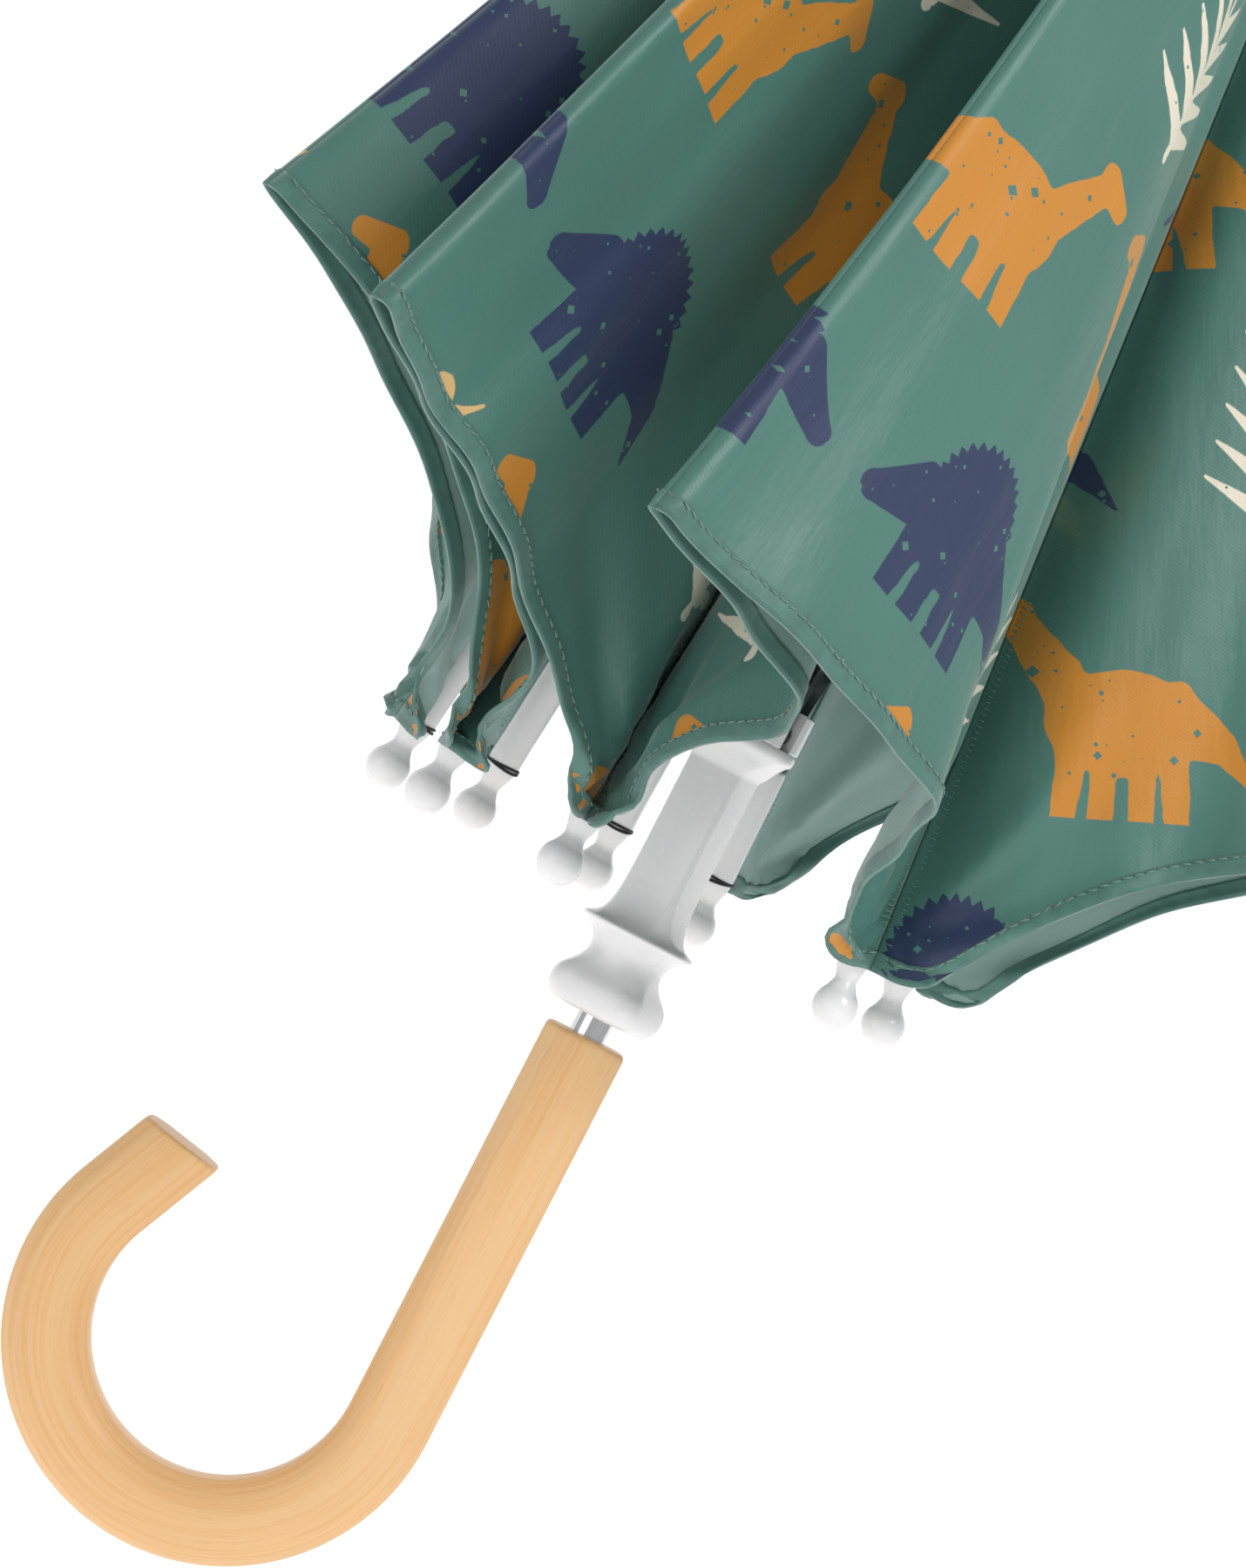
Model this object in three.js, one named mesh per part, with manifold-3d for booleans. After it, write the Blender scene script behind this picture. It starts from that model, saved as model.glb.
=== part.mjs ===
// Children's crook-handled umbrella, closed but not wrapped. Millimetres, +Z from the handle to the ferrule.
// Azimuths count from +X towards -Y, in degrees. The origin is on the shaft's axis, where the hand grips.
import * as THREE from "three";
import { mergeVertices } from "three/addons/utils/BufferGeometryUtils.js";
import Module from "manifold-3d";

const wasm = await Module();
wasm.setup();

// Shaft and handle
const SHAFT_R = 4.2, SHAFT_BORE_R = 3.3, SHAFT_BOTTOM = 12, SHAFT_TOP = 540;
const HANDLE_TOP = 45, HANDLE_W = 19.6, HANDLE_ROUND = 5.5, SOCKET_R = 4.6, SOCKET_DEPTH = 36;
const CROOK_Z = -50.5, CROOK_R = 40, CROOK_SWEEP = 204, CROOK_END = 20, CROOK_CUT = 13;
// Runner
const RUNNER_BORE_R = 5, RUNNER_GROOVE_R = 6.9, RUNNER_PIVOT_R = 9.6, RUNNER_PIVOT_Z = 124, RUNNER_BOTTOM = 50, RUNNER_TURN = 22;
const STROKE = 131;
// Crown and what is above it
const CROWN_PIVOT_R = 8.2, CROWN_Z = 514, CROWN_R = 12, WIRE_R = 0.45, WIRE_HOLE_R = 0.85;
const ROSETTE_R = 19, CAP_R = 9.5, FERRULE_R = 3.4, FERRULE_TIP = 561;
// Ribs, tips and stretchers
const RIB_LENGTH = 440, RIB_W = 2.4, RIB_H = 2.6, RIB_OPEN = 59, EYE_R = 2.4, EYE_T = 1.6;
const BALL_R = 5, SLEEVE_R = 3.7, SLEEVE_LENGTH = 36, PLUG_R = 1.15, PLUG_LENGTH = 14;
const FORK_GAP = 4.6, FORK_CHEEK = 0.8, FORK_LENGTH = 34, STRETCHER_W = 2, STRETCHER_H = 2.2;
// Canopy
const CLOTH_T = 0.6, CLOTH_GAP = 0.35, CLOTH_OFFSET = 4.8, CLOTH_INNER = 17, HEM_AT_RIB = 430;
const SWIRL = 8;
const STRAP_W = 12, STRAP_LENGTH = 110, STRAP_T = 1.2, SNAP_R = 5;
// Spring catches
const CATCH_AZIMUTH = 243.5, CATCH_W = 1.8, CATCH_OUT = 6.1, CATCH_LENGTH = 18, BOTTOM_CATCH_Z = 84, TOP_CATCH_Z = 162.4;

// Each rib's regular azimuth in the crown, and where its ball hangs when closed: the ribs flex, so not quite regular
const RIBS = [
  { slot: -4, ball: [57.8, 15.2] },
  { slot: 41, ball: [43.8, -36.8] },
  { slot: 86, ball: [-22.7, -59.8] },
  { slot: 131, ball: [-55.0, -39.0] },
  { slot: 176, ball: [-66.7, 9.4] },
  { slot: 221, ball: [-46.0, 47.9] },
  { slot: 266, ball: [-15.8, 62.0] },
  { slot: 311, ball: [11.0, 57.0] },
];
// Where each gore's fold hangs when closed, and how far its cloth reaches there; gore k is between rib k and rib k + 1
const FOLDS = [
  { azimuth: 10, reach: 394 }, { azimuth: 104.8, reach: 413 }, { azimuth: 124.2, reach: 408 }, { azimuth: 141, reach: 390 },
  { azimuth: 233, reach: 398 }, { azimuth: 256, reach: 400 }, { azimuth: 276, reach: 400 }, { azimuth: 318, reach: 400 },
];

const STEEL = ["#c9ccd0", 0.2, 1], DARK_STEEL = ["#34383c", 0.4, 0.9], WHITE = ["#eceaea", 0.25, 0];
const WOOD = ["#efc694", 0.5, 0], CLOTH = ["#507e6e", 0.6, 0];

const group = new THREE.Group();
const rad = (deg) => (deg * Math.PI) / 180;
const vec = (x, y, z) => new THREE.Vector3(x, y, z);
const radial = (azimuth) => vec(Math.cos(rad(azimuth)), -Math.sin(rad(azimuth)), 0);
const along = (p, ...steps) => {
  const q = p.clone();
  for (let i = 0; i < steps.length; i += 2) q.addScaledVector(steps[i], steps[i + 1]);
  return q;
};

function add(name, geometry, [colour, roughness, metalness]) {
  const mesh = new THREE.Mesh(geometry, new THREE.MeshStandardMaterial({ color: colour, roughness, metalness }));
  mesh.name = name;
  group.add(mesh);
  return mesh;
}

function solid(geometry) {
  const bare = geometry.clone();
  bare.deleteAttribute("normal");
  bare.deleteAttribute("uv");
  const g = mergeVertices(bare, 1e-4);
  return new wasm.Manifold(
    new wasm.Mesh({ numProp: 3, vertProperties: g.attributes.position.array, triVerts: new Uint32Array(g.index.array) }),
  );
}

function geometryOf(manifold) {
  const m = manifold.getMesh();
  const g = new THREE.BufferGeometry();
  g.setAttribute("position", new THREE.BufferAttribute(new Float32Array(m.vertProperties), 3));
  g.setIndex(new THREE.BufferAttribute(new Uint32Array(m.triVerts), 1));
  return g;
}

// A closed skin through rings of points, each ring turning the same way, with a flat cap at both ends
function loft(rings) {
  const n = rings[0].length, points = rings.flat(), faces = [];
  rings.slice(1).forEach((_, r) => {
    for (let i = 0; i < n; i++) {
      const a = r * n + i, b = r * n + ((i + 1) % n);
      faces.push(a, b, b + n, a, b + n, a + n);
    }
  });
  const last = (rings.length - 1) * n;
  for (let i = 1; i < n - 1; i++) faces.push(0, i + 1, i, last, last + i, last + i + 1);
  const g = new THREE.BufferGeometry().setFromPoints(points);
  g.setIndex(faces);
  return g;
}

// A ring in the plane of two axes round a centre
const ring = (centre, u, v, outline) => outline.map(([a, b]) => along(centre, u, a, v, b));

const circle = (r, n, start = 0) =>
  Array.from({ length: n }, (_, i) => [r * Math.cos(start + (i * 2 * Math.PI) / n), r * Math.sin(start + (i * 2 * Math.PI) / n)]);

// A rounded rectangle of half-sizes a and b; with round equal to both it is a circle
function rounded(a, b, round, perCorner = 4) {
  const out = [];
  for (let corner = 0; corner < 4; corner++)
    for (let i = 0; i < perCorner; i++) {
      const t = rad(90 * corner + (90 * (i + 0.5)) / perCorner);
      const sx = [1, -1, -1, 1][corner], sy = [1, 1, -1, -1][corner];
      out.push([sx * (a - round) + round * Math.cos(t), sy * (b - round) + round * Math.sin(t)]);
    }
  return out;
}

const X = vec(1, 0, 0), Y = vec(0, 1, 0), Z = vec(0, 0, 1);
const upright = (z, outline) => ring(vec(0, 0, z), X, Y, outline);
const drum = (r, z0, z1, n = 24) => loft([upright(z0, circle(r, n)), upright(z1, circle(r, n))]);
const stack = (profile, n = 24) => loft(profile.map(([r, z]) => upright(z, circle(r, n))));

// A box from a corner frame: centre, half-sizes along three axes
function block(centre, u, hu, v, hv, w, hw) {
  const outline = [[-hu, -hv], [hu, -hv], [hu, hv], [-hu, hv]];
  const side = u.clone().cross(v).dot(w) > 0 ? 1 : -1;
  return loft([ring(along(centre, w, -side * hw), u, v, outline), ring(along(centre, w, side * hw), u, v, outline)]);
}

function torus(r, wire, z, n = 40, m = 8) {
  return geometryOf(solid(new THREE.TorusGeometry(r, wire, m, n).translate(0, 0, z)));
}

// ---- Shaft: a fluted steel tube with a slot for each spring catch ----
const catchDirection = radial(CATCH_AZIMUTH), catchSide = Z.clone().cross(catchDirection);
const catchSlot = (z) =>
  solid(block(along(vec(0, 0, z + CATCH_LENGTH / 2), catchDirection, 4), catchDirection, 3.6, catchSide,
    CATCH_W / 2 + 0.35, Z, CATCH_LENGTH / 2 + 1.2));
{
  const flutes = 8;
  const outline = [];
  for (let i = 0; i < flutes * 2; i++) {
    const r = i % 2 ? SHAFT_R * 0.965 : SHAFT_R, t = (i * Math.PI) / flutes + rad(11);
    outline.push([r * Math.cos(t), r * Math.sin(t)]);
  }
  const tube = solid(loft([upright(SHAFT_BOTTOM, outline), upright(SHAFT_TOP, outline)]))
    .subtract(solid(drum(SHAFT_BORE_R, SHAFT_BOTTOM - 1, SHAFT_TOP + 1, 16)))
    .subtract(catchSlot(BOTTOM_CATCH_Z))
    .subtract(catchSlot(TOP_CATCH_Z));
  add("shaft_tube", geometryOf(tube), STEEL);
}

// ---- Handle: a bent square bar with rounded edges, sawn off flat at the crook's end ----
const crookCentre = vec(-CROOK_R, 0, CROOK_Z);
const crookEnd = rad(CROOK_SWEEP);
const crookOut = vec(Math.cos(crookEnd), 0, -Math.sin(crookEnd));
const crookAhead = vec(-Math.sin(crookEnd), 0, -Math.cos(crookEnd));
const crookEndCentre = along(crookCentre, crookOut, CROOK_R, crookAhead, CROOK_END);
{
  const full = rounded(HANDLE_W / 2, HANDLE_W / 2, HANDLE_ROUND);
  const shrunk = (k) => rounded(HANDLE_W / 2 - k, HANDLE_W / 2 - k, HANDLE_ROUND - k);
  const at = (centre, out, outline) => ring(centre, out, vec(0, -1, 0), outline);
  const rings = [at(vec(0, 0, HANDLE_TOP), X, shrunk(1.2)), at(vec(0, 0, HANDLE_TOP - 1.2), X, full)];
  const turns = 26;
  for (let i = 0; i <= turns; i++) {
    const t = (crookEnd * i) / turns;
    const out = vec(Math.cos(t), 0, -Math.sin(t));
    rings.push(at(along(crookCentre, out, CROOK_R), out, full));
  }
  // the saw cut is not quite square to the bar, so the inner edge is the longer one
  const sawn = (centre, outline) => at(centre, crookOut, outline)
    .map((p) => along(p, crookAhead, -Math.tan(rad(CROOK_CUT)) * p.clone().sub(centre).dot(crookOut)));
  rings.push(sawn(along(crookEndCentre, crookAhead, -1.2), full));
  rings.push(sawn(crookEndCentre, shrunk(1.2)));
  const bar = solid(loft(rings));
  const socket = solid(drum(SOCKET_R, HANDLE_TOP - SOCKET_DEPTH, HANDLE_TOP + 1, 24));
  add("handle", geometryOf(bar.subtract(socket)), WOOD);
}

// ---- Spring catches: a wedge that stands out of the shaft, ramp down at the bottom one and square on top ----
function springCatch(name, z) {
  const foot = along(vec(0, 0, z), catchDirection, 0.4);
  const reach = CATCH_OUT - 0.4;
  const outline = [[0, 0], [3.9, 0], [reach, CATCH_LENGTH - 3], [reach, CATCH_LENGTH], [0, CATCH_LENGTH]];
  const w = CATCH_W / 2;
  add(name, loft([ring(along(foot, catchSide, w), catchDirection, Z, outline),
    ring(along(foot, catchSide, -w), catchDirection, Z, outline)]), STEEL);
}
springCatch("bottom_catch", BOTTOM_CATCH_Z);
springCatch("top_catch", TOP_CATCH_Z);

// ---- Runner: square-edged collar, waist, thin flange, square body, slotted ring for the stretchers ----
{
  // the square parts are turned a little about the shaft
  const cos = Math.cos(rad(RUNNER_TURN)), sin = Math.sin(rad(RUNNER_TURN));
  const square = (half, round, z) =>
    upright(z, rounded(half, half, round, 6).map(([x, y]) => [x * cos + y * sin, y * cos - x * sin]));
  const round = (r, z) => square(r, r - 0.01, z);
  const rings = [
    square(8.6, 5, RUNNER_BOTTOM), square(10.4, 5.3, 50.8), square(11.3, 4.9, 52.9), square(11.4, 4.6, 55.8),
    square(10.7, 5, 58), square(9.3, 6, 60.2),
    round(8.6, 62.8), round(8.9, 65.2), round(10.2, 67.4), round(12.6, 69.2), round(13.1, 70.1), round(12.5, 70.8),
    square(9.4, 6.8, 72.3), square(8, 4, 74.4), square(7.1, 2.2, 78), square(6.6, 1.3, 84),
    square(6.6, 1.3, 111.6), square(8.2, 3, 113.8), round(12.6, 117.8), round(13.2, 118.6),
    round(13.2, 129.4), round(12.6, 130),
  ];
  let body = solid(loft(rings)).subtract(solid(drum(RUNNER_BORE_R, RUNNER_BOTTOM - 1, 131, 24)));
  body = body.subtract(solid(block(along(vec(0, 0, 90), catchDirection, RUNNER_GROOVE_R / 2), catchDirection,
    RUNNER_GROOVE_R / 2, catchSide, CATCH_W / 2 + 0.5, Z, 42)));
  for (const { slot } of RIBS) {
    const out = radial(slot), side = Z.clone().cross(out);
    body = body.subtract(solid(block(along(vec(0, 0, 126.4), out, 12), out, 4.9, side, EYE_T / 2 + 0.6, Z, 5.4)));
  }
  body = body.subtract(solid(torus(RUNNER_PIVOT_R, WIRE_HOLE_R, RUNNER_PIVOT_Z)));
  add("runner", geometryOf(body), WHITE);
}
add("runner_wire", torus(RUNNER_PIVOT_R, WIRE_R, RUNNER_PIVOT_Z, 40, 6), STEEL);

// ---- Crown with a slot for each rib, its wire, and the rosette, cap and ferrule above the canopy ----
{
  let crown = solid(stack([[CROWN_R - 1, 508], [CROWN_R, 509], [CROWN_R, 518], [CROWN_R - 2, 519]], 32))
    .subtract(solid(drum(SHAFT_R + 0.35, 500, 530, 24)));
  for (const { slot } of RIBS) {
    const out = radial(slot), side = Z.clone().cross(out);
    crown = crown.subtract(solid(block(along(vec(0, 0, CROWN_Z), out, 11.8), out, 6.2, side, EYE_T / 2 + 0.6, Z, 10)));
  }
  crown = crown.subtract(solid(torus(CROWN_PIVOT_R, WIRE_HOLE_R, CROWN_Z)));
  add("crown", geometryOf(crown), WHITE);
  add("crown_wire", torus(CROWN_PIVOT_R, WIRE_R, CROWN_Z, 40, 6), STEEL);
  const hollow = (profile, name, finish, n = 32) =>
    add(name, geometryOf(solid(stack(profile, n)).subtract(solid(drum(SHAFT_R + 0.35, 500, 545, 24)))), finish);
  hollow([[ROSETTE_R, 519.4], [ROSETTE_R, 520.2], [9, 522.4], [6, 522.4]], "rosette", CLOTH);
  hollow([[CAP_R, 522.8], [CAP_R, 525], [7, 530], [5.6, 532]], "top_cap", WHITE);
  const ferrule = solid(stack([[5.6, 532.4], [5.4, 536], [FERRULE_R + 0.6, 545], [FERRULE_R, 558], [2.6, FERRULE_TIP]], 24))
    .subtract(solid(drum(SHAFT_R + 0.35, 530, SHAFT_TOP + 0.5, 24)));
  add("ferrule", geometryOf(ferrule), WHITE);
}

// ---- The frame's motion: each rib turns from where it hangs to a regular spread ----
function turnBetween(from, to) {
  const axis = from.clone().cross(to).normalize();
  return { axis, angle: from.angleTo(to), turn: new THREE.Quaternion().setFromAxisAngle(axis, from.angleTo(to)) };
}

const frames = RIBS.map(({ slot, ball }) => {
  const out = radial(slot);
  const hinge = along(vec(0, 0, CROWN_Z), out, CROWN_PIVOT_R);
  const dx = ball[0] - hinge.x, dy = ball[1] - hinge.y;
  const drop = Math.sqrt(RIB_LENGTH ** 2 - dx * dx - dy * dy);
  const closed = vec(dx, dy, -drop).divideScalar(RIB_LENGTH);
  const open = along(vec(0, 0, -Math.cos(rad(RIB_OPEN))), out, Math.sin(rad(RIB_OPEN)));
  const openNormal = along(vec(0, 0, Math.sin(rad(RIB_OPEN))), out, Math.cos(rad(RIB_OPEN)));
  const motion = turnBetween(closed, open);
  const back = motion.turn.clone().invert();
  const normal = openNormal.clone().applyQuaternion(back);
  // the stretcher's pivot along the rib, where the same stretcher reaches both closed and open
  const low = along(vec(0, 0, RUNNER_PIVOT_Z), out, RUNNER_PIVOT_R);
  const lowOpen = along(low, Z, STROKE);
  const a = hinge.clone().sub(low), b = hinge.clone().sub(lowOpen);
  const pivotAt = (b.lengthSq() - a.lengthSq()) / (2 * (a.dot(closed) - b.dot(open)));
  const reach = along(hinge, closed, pivotAt).sub(low), reachOpen = along(hinge, open, pivotAt).sub(lowOpen);
  return { out, hinge, closed, open, openNormal, normal, motion, back, low, pivotAt, reach, reachOpen };
});

// ---- Ribs, with an eye on the crown wire and a thin end that plugs into the tip ----
const barOutline = (w, h) => [[-w / 2, -h / 2], [w / 2, -h / 2], [w / 2, h / 2], [-w / 2, h / 2]];
function eye(centre, side, r, thickness, hole) {
  const u = Math.abs(side.z) > 0.9 ? X : Z.clone().cross(side).normalize(), v = side.clone().cross(u).normalize();
  const disc = (radius, half, n) =>
    solid(loft([ring(along(centre, side, -half), u, v, circle(radius, n)), ring(along(centre, side, half), u, v, circle(radius, n))]));
  return { disc: disc(r, thickness / 2, 20), hole: disc(hole, thickness, 12) };
}

const ribEnd = RIB_LENGTH - BALL_R - SLEEVE_LENGTH;
frames.forEach(({ hinge, closed, normal, motion }, k) => {
  const side = closed.clone().cross(normal).normalize();
  const at = (t, w, h) => ring(along(hinge, closed, t), normal, side, barOutline(h, w));
  const bar = solid(loft([at(0, EYE_T, 2.2), at(9, EYE_T, 2.4), at(14, RIB_W, RIB_H), at(ribEnd - 0.4, RIB_W, RIB_H)]));
  const plug = solid(loft([at(ribEnd - 1, 1.5, 1.5), at(ribEnd + PLUG_LENGTH, 1.5, 1.5)]));
  const head = eye(hinge, side, EYE_R, EYE_T, WIRE_HOLE_R);
  const rib = add(`rib_${k + 1}`, geometryOf(bar.add(plug).add(head.disc).subtract(head.hole)), DARK_STEEL);
  rib.userData.joint = { axis: motion.axis, pos: hinge, angle: motion.angle };

  // the tip: sleeve with a socket, flared collar, neck and ball, along the rib's line
  const profile = [
    [SLEEVE_R - 0.3, 0], [SLEEVE_R, 0.6], [SLEEVE_R, 24], [3.9, 26], [3.9, 28.6], [3.5, 31], [2.8, 33.2], [2.4, 34.8],
    [2.7, 35.8], [3.7, SLEEVE_LENGTH + 1.6], [4.6, SLEEVE_LENGTH + 3], [BALL_R, SLEEVE_LENGTH + BALL_R - 0.6],
    [4.8, SLEEVE_LENGTH + BALL_R + 1.4], [3.9, SLEEVE_LENGTH + BALL_R + 3.1], [2, SLEEVE_LENGTH + BALL_R + 4.6],
    [0.4, SLEEVE_LENGTH + BALL_R * 2],
  ];
  const about = (r, t, n) => ring(along(hinge, closed, ribEnd + t), normal, side, circle(r, n).map(([a, b]) => [b, a]));
  const flip = (outline) => outline.slice().reverse();
  const body = solid(loft(profile.map(([r, t]) => flip(about(r, t, 14)))));
  const socket = solid(loft([flip(about(PLUG_R + 0.3, -1, 8)), flip(about(PLUG_R + 0.3, PLUG_LENGTH + 1, 8))]));
  add(`tip_${k + 1}`, geometryOf(body.subtract(socket)), WHITE);
});

// ---- Stretchers: an eye on the runner wire, and a fork whose cheeks pass either side of the rib ----
frames.forEach(({ low, reach, reachOpen, closed, open }, k) => {
  const ahead = reach.clone().normalize(), length = reach.length();
  const motion = turnBetween(ahead, reachOpen.clone().normalize());
  // the fork faces halfway between the rib's plane when closed and its plane when open
  const closedSide = closed.clone().cross(ahead).normalize();
  const openSide = open.clone().cross(reachOpen).normalize().applyQuaternion(motion.turn.clone().invert());
  const side = closedSide.add(openSide).normalize().negate(), across = side.clone().cross(ahead).normalize();
  const pin = motion.axis.clone().multiplyScalar(Math.sign(motion.axis.dot(side))), pinAcross = pin.clone().cross(ahead);
  const at = (t, w, h) => ring(along(low, ahead, t), across, side, barOutline(h, w));
  const pinned = (t, w, h) => ring(along(low, ahead, t), pinAcross, pin, barOutline(h, w));
  const neck = length - FORK_LENGTH - 4;
  const bar = solid(loft([pinned(0, EYE_T, 2), pinned(9, EYE_T, 2), pinned(16, STRETCHER_W, STRETCHER_H),
    at(40, STRETCHER_W, STRETCHER_H), at(neck, STRETCHER_W, STRETCHER_H)]));
  const head = eye(low, pin, EYE_R, EYE_T, WIRE_HOLE_R);
  const wide = FORK_GAP + 2 * FORK_CHEEK;
  const fork = solid(loft([at(length - FORK_LENGTH - 6, STRETCHER_W, 2), at(length - FORK_LENGTH - 1, wide, 3), at(length + 3, wide, 3)]))
    .subtract(solid(loft([at(length - FORK_LENGTH, FORK_GAP, 6), at(length + 5, FORK_GAP, 6)])));
  const mesh = add(`stretcher_${k + 1}`, geometryOf(bar.add(fork).add(head.disc).subtract(head.hole)), DARK_STEEL);
  mesh.userData.joint = { axis: motion.axis, pos: low, angle: motion.angle };
});

// ---- Canopy: eight gores, each two flat-cut halves that hinge on their ribs and meet at a fold ----
const apexBack = (CROWN_PIVOT_R + CLOTH_OFFSET * Math.cos(rad(RIB_OPEN))) / Math.sin(rad(RIB_OPEN));
const halfAngle = frames[0].open.angleTo(frames[1].open) / 2;
const apexOf = (f) => along(f.hinge, f.normal, CLOTH_OFFSET, f.closed, -apexBack);

const gores = FOLDS.map(({ azimuth, reach }, k) => {
  const a = frames[k], b = frames[(k + 1) % 8];
  const apexA = apexOf(a), apexB = apexOf(b), apex = apexA.clone().add(apexB).multiplyScalar(0.5);
  let fold, angleA = 0, angleB = 0, lowest = 0, highest = rad(60);
  for (let i = 0; i < 40; i++) {
    const polar = (lowest + highest) / 2;
    fold = along(apex, radial(azimuth), reach * Math.sin(polar), Z, -reach * Math.cos(polar));
    angleA = fold.clone().sub(apexA).angleTo(a.closed);
    angleB = fold.clone().sub(apexB).angleTo(b.closed);
    if (angleA + angleB > 2 * halfAngle) highest = polar;
    else lowest = polar;
  }
  return { fold, halves: [half(a, apexA, fold, angleA, b), half(b, apexB, fold, angleB, a)] };
});

// One half: its hinge line, the direction across it when closed, and how far it turns to lie in the open gore's plane
function half(f, apex, fold, angle, other) {
  const toFold = fold.clone().sub(apex);
  const across = along(toFold, f.closed, -toFold.dot(f.closed)).normalize();
  const openAcross = along(other.open, f.open, -other.open.dot(f.open)).normalize().applyQuaternion(f.back);
  const axis = across.clone().cross(openAcross).normalize();
  const normal = across.clone().cross(f.closed).normalize();
  return { f, apex, across, angle, axis, turn: across.angleTo(openAcross), normal, reach: toFold.length() };
}

// How far a panel's edge keeps from a line that it shares with a neighbour at this angle between their faces
const inset = (between) => (CLOTH_T + CLOTH_GAP) / (2 * Math.sin(Math.max(between, 0.05) / 2)) + 0.25;

function panel(h, gapRib, gapFold, turning) {
  const inner = Math.max(CLOTH_INNER, (gapRib + gapFold + 3) / Math.sin(h.angle));
  const rows = 7, columns = 5;
  const point = (i, j, offset) => {
    const v = i / rows, s = j / columns;
    const hem = h.reach + (HEM_AT_RIB + apexBack - h.reach) * (1 - s) ** 3.2;
    const reach = inner + (hem - inner) * v;
    const start = Math.asin(gapRib / reach), stop = h.angle - Math.asin(gapFold / reach);
    const angle = start + (stop - start) * s;
    const bend = SWIRL * Math.sin(Math.PI * s) * (reach / HEM_AT_RIB) ** 1.5 * turning;
    return along(h.apex, h.f.closed, reach * Math.cos(angle), h.across, reach * Math.sin(angle), h.normal, bend + offset);
  };
  const outline = (i) => [
    ...Array.from({ length: columns + 1 }, (_, j) => point(i, j, CLOTH_T / 2)),
    ...Array.from({ length: columns + 1 }, (_, j) => point(i, columns - j, -CLOTH_T / 2)),
  ];
  return loft(Array.from({ length: rows + 1 }, (_, i) => outline(i)));
}

const facing = (p, q, line) => {
  const flat = (v) => along(v, line, -v.dot(line)).normalize();
  return flat(p).angleTo(flat(q));
};
gores.forEach(({ fold, halves: [a, b] }, k) => {
  const before = gores[(k + 7) % 8].halves[1], after = gores[(k + 1) % 8].halves[0];
  const crease = fold.clone().sub(a.apex).normalize();
  const gapFold = inset(facing(a.f.closed, b.f.closed, crease));
  // the swirl pushes every panel towards lower azimuths
  [[a, before, "a"], [b, after, "b"]].forEach(([h, next, letter]) => {
    const clockwise = radial(FOLDS[k].azimuth).cross(Z).negate();
    const turning = Math.sign(h.normal.dot(clockwise)) || 1;
    const gapRib = inset(facing(h.across, next.across, h.f.closed));
    const mesh = add(`gore_${k + 1}${letter}`, panel(h, gapRib, gapFold, turning), CLOTH);
    mesh.userData.joint = { axis: h.axis, pos: along(h.f.hinge, h.f.normal, CLOTH_OFFSET), angle: h.turn };
    mesh.userData.turning = turning;
  });
});

// ---- Closing strap and its snap, on the outside of a gore at the back ----
{
  const h = gores[5].halves[0];
  const clockwise = radial(FOLDS[5].azimuth).cross(Z).negate();
  const turning = Math.sign(h.normal.dot(clockwise)) || 1;
  const outward = -1;
  const bend = SWIRL * 0.95 * turning * 0.75;
  const middle = along(h.apex, h.f.closed, 300 * Math.cos(h.angle * 0.55), h.across, 300 * Math.sin(h.angle * 0.55));
  const lifted = along(middle, h.normal, outward * 5.5 + bend);
  add("closing_strap", block(lifted, h.f.closed, STRAP_LENGTH / 2, h.across, STRAP_W / 2, h.normal, STRAP_T / 2), CLOTH);
  const at = along(lifted, h.f.closed, STRAP_LENGTH / 2 - 8, h.normal, outward * (STRAP_T / 2 + 0.3));
  add("snap_button", loft([
    ring(at, h.f.closed, h.across, circle(SNAP_R, 16)),
    ring(along(at, h.normal, outward * 1.8), h.f.closed, h.across, circle(SNAP_R - 1, 16)),
  ]), STEEL);
}

export default group;
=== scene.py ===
import math

import bmesh
import bpy
import numpy as np
from mathutils import Matrix, Vector


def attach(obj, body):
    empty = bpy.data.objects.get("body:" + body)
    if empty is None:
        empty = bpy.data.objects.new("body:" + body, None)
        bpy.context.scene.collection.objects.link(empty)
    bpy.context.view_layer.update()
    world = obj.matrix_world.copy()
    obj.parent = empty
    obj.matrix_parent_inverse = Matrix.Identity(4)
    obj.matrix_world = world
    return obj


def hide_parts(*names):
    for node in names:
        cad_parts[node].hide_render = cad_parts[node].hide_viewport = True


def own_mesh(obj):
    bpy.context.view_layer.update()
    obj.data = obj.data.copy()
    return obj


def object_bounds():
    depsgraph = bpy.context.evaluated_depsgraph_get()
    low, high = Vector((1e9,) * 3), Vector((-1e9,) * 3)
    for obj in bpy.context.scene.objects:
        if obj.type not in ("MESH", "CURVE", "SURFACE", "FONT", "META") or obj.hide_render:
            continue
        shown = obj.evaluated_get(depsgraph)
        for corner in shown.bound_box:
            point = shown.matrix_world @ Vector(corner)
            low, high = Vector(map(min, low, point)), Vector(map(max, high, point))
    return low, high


bl_info = {
    "name": "Children's umbrella",
    "version": (1, 0, 0),
    "blender": (4, 5, 0),
    "location": "3D View > Sidebar > Umbrella",
    "description": "Builds a children's umbrella's cloth, handle, runner, tips and finishes around its packed frame",
    "category": "Object",
}

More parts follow.
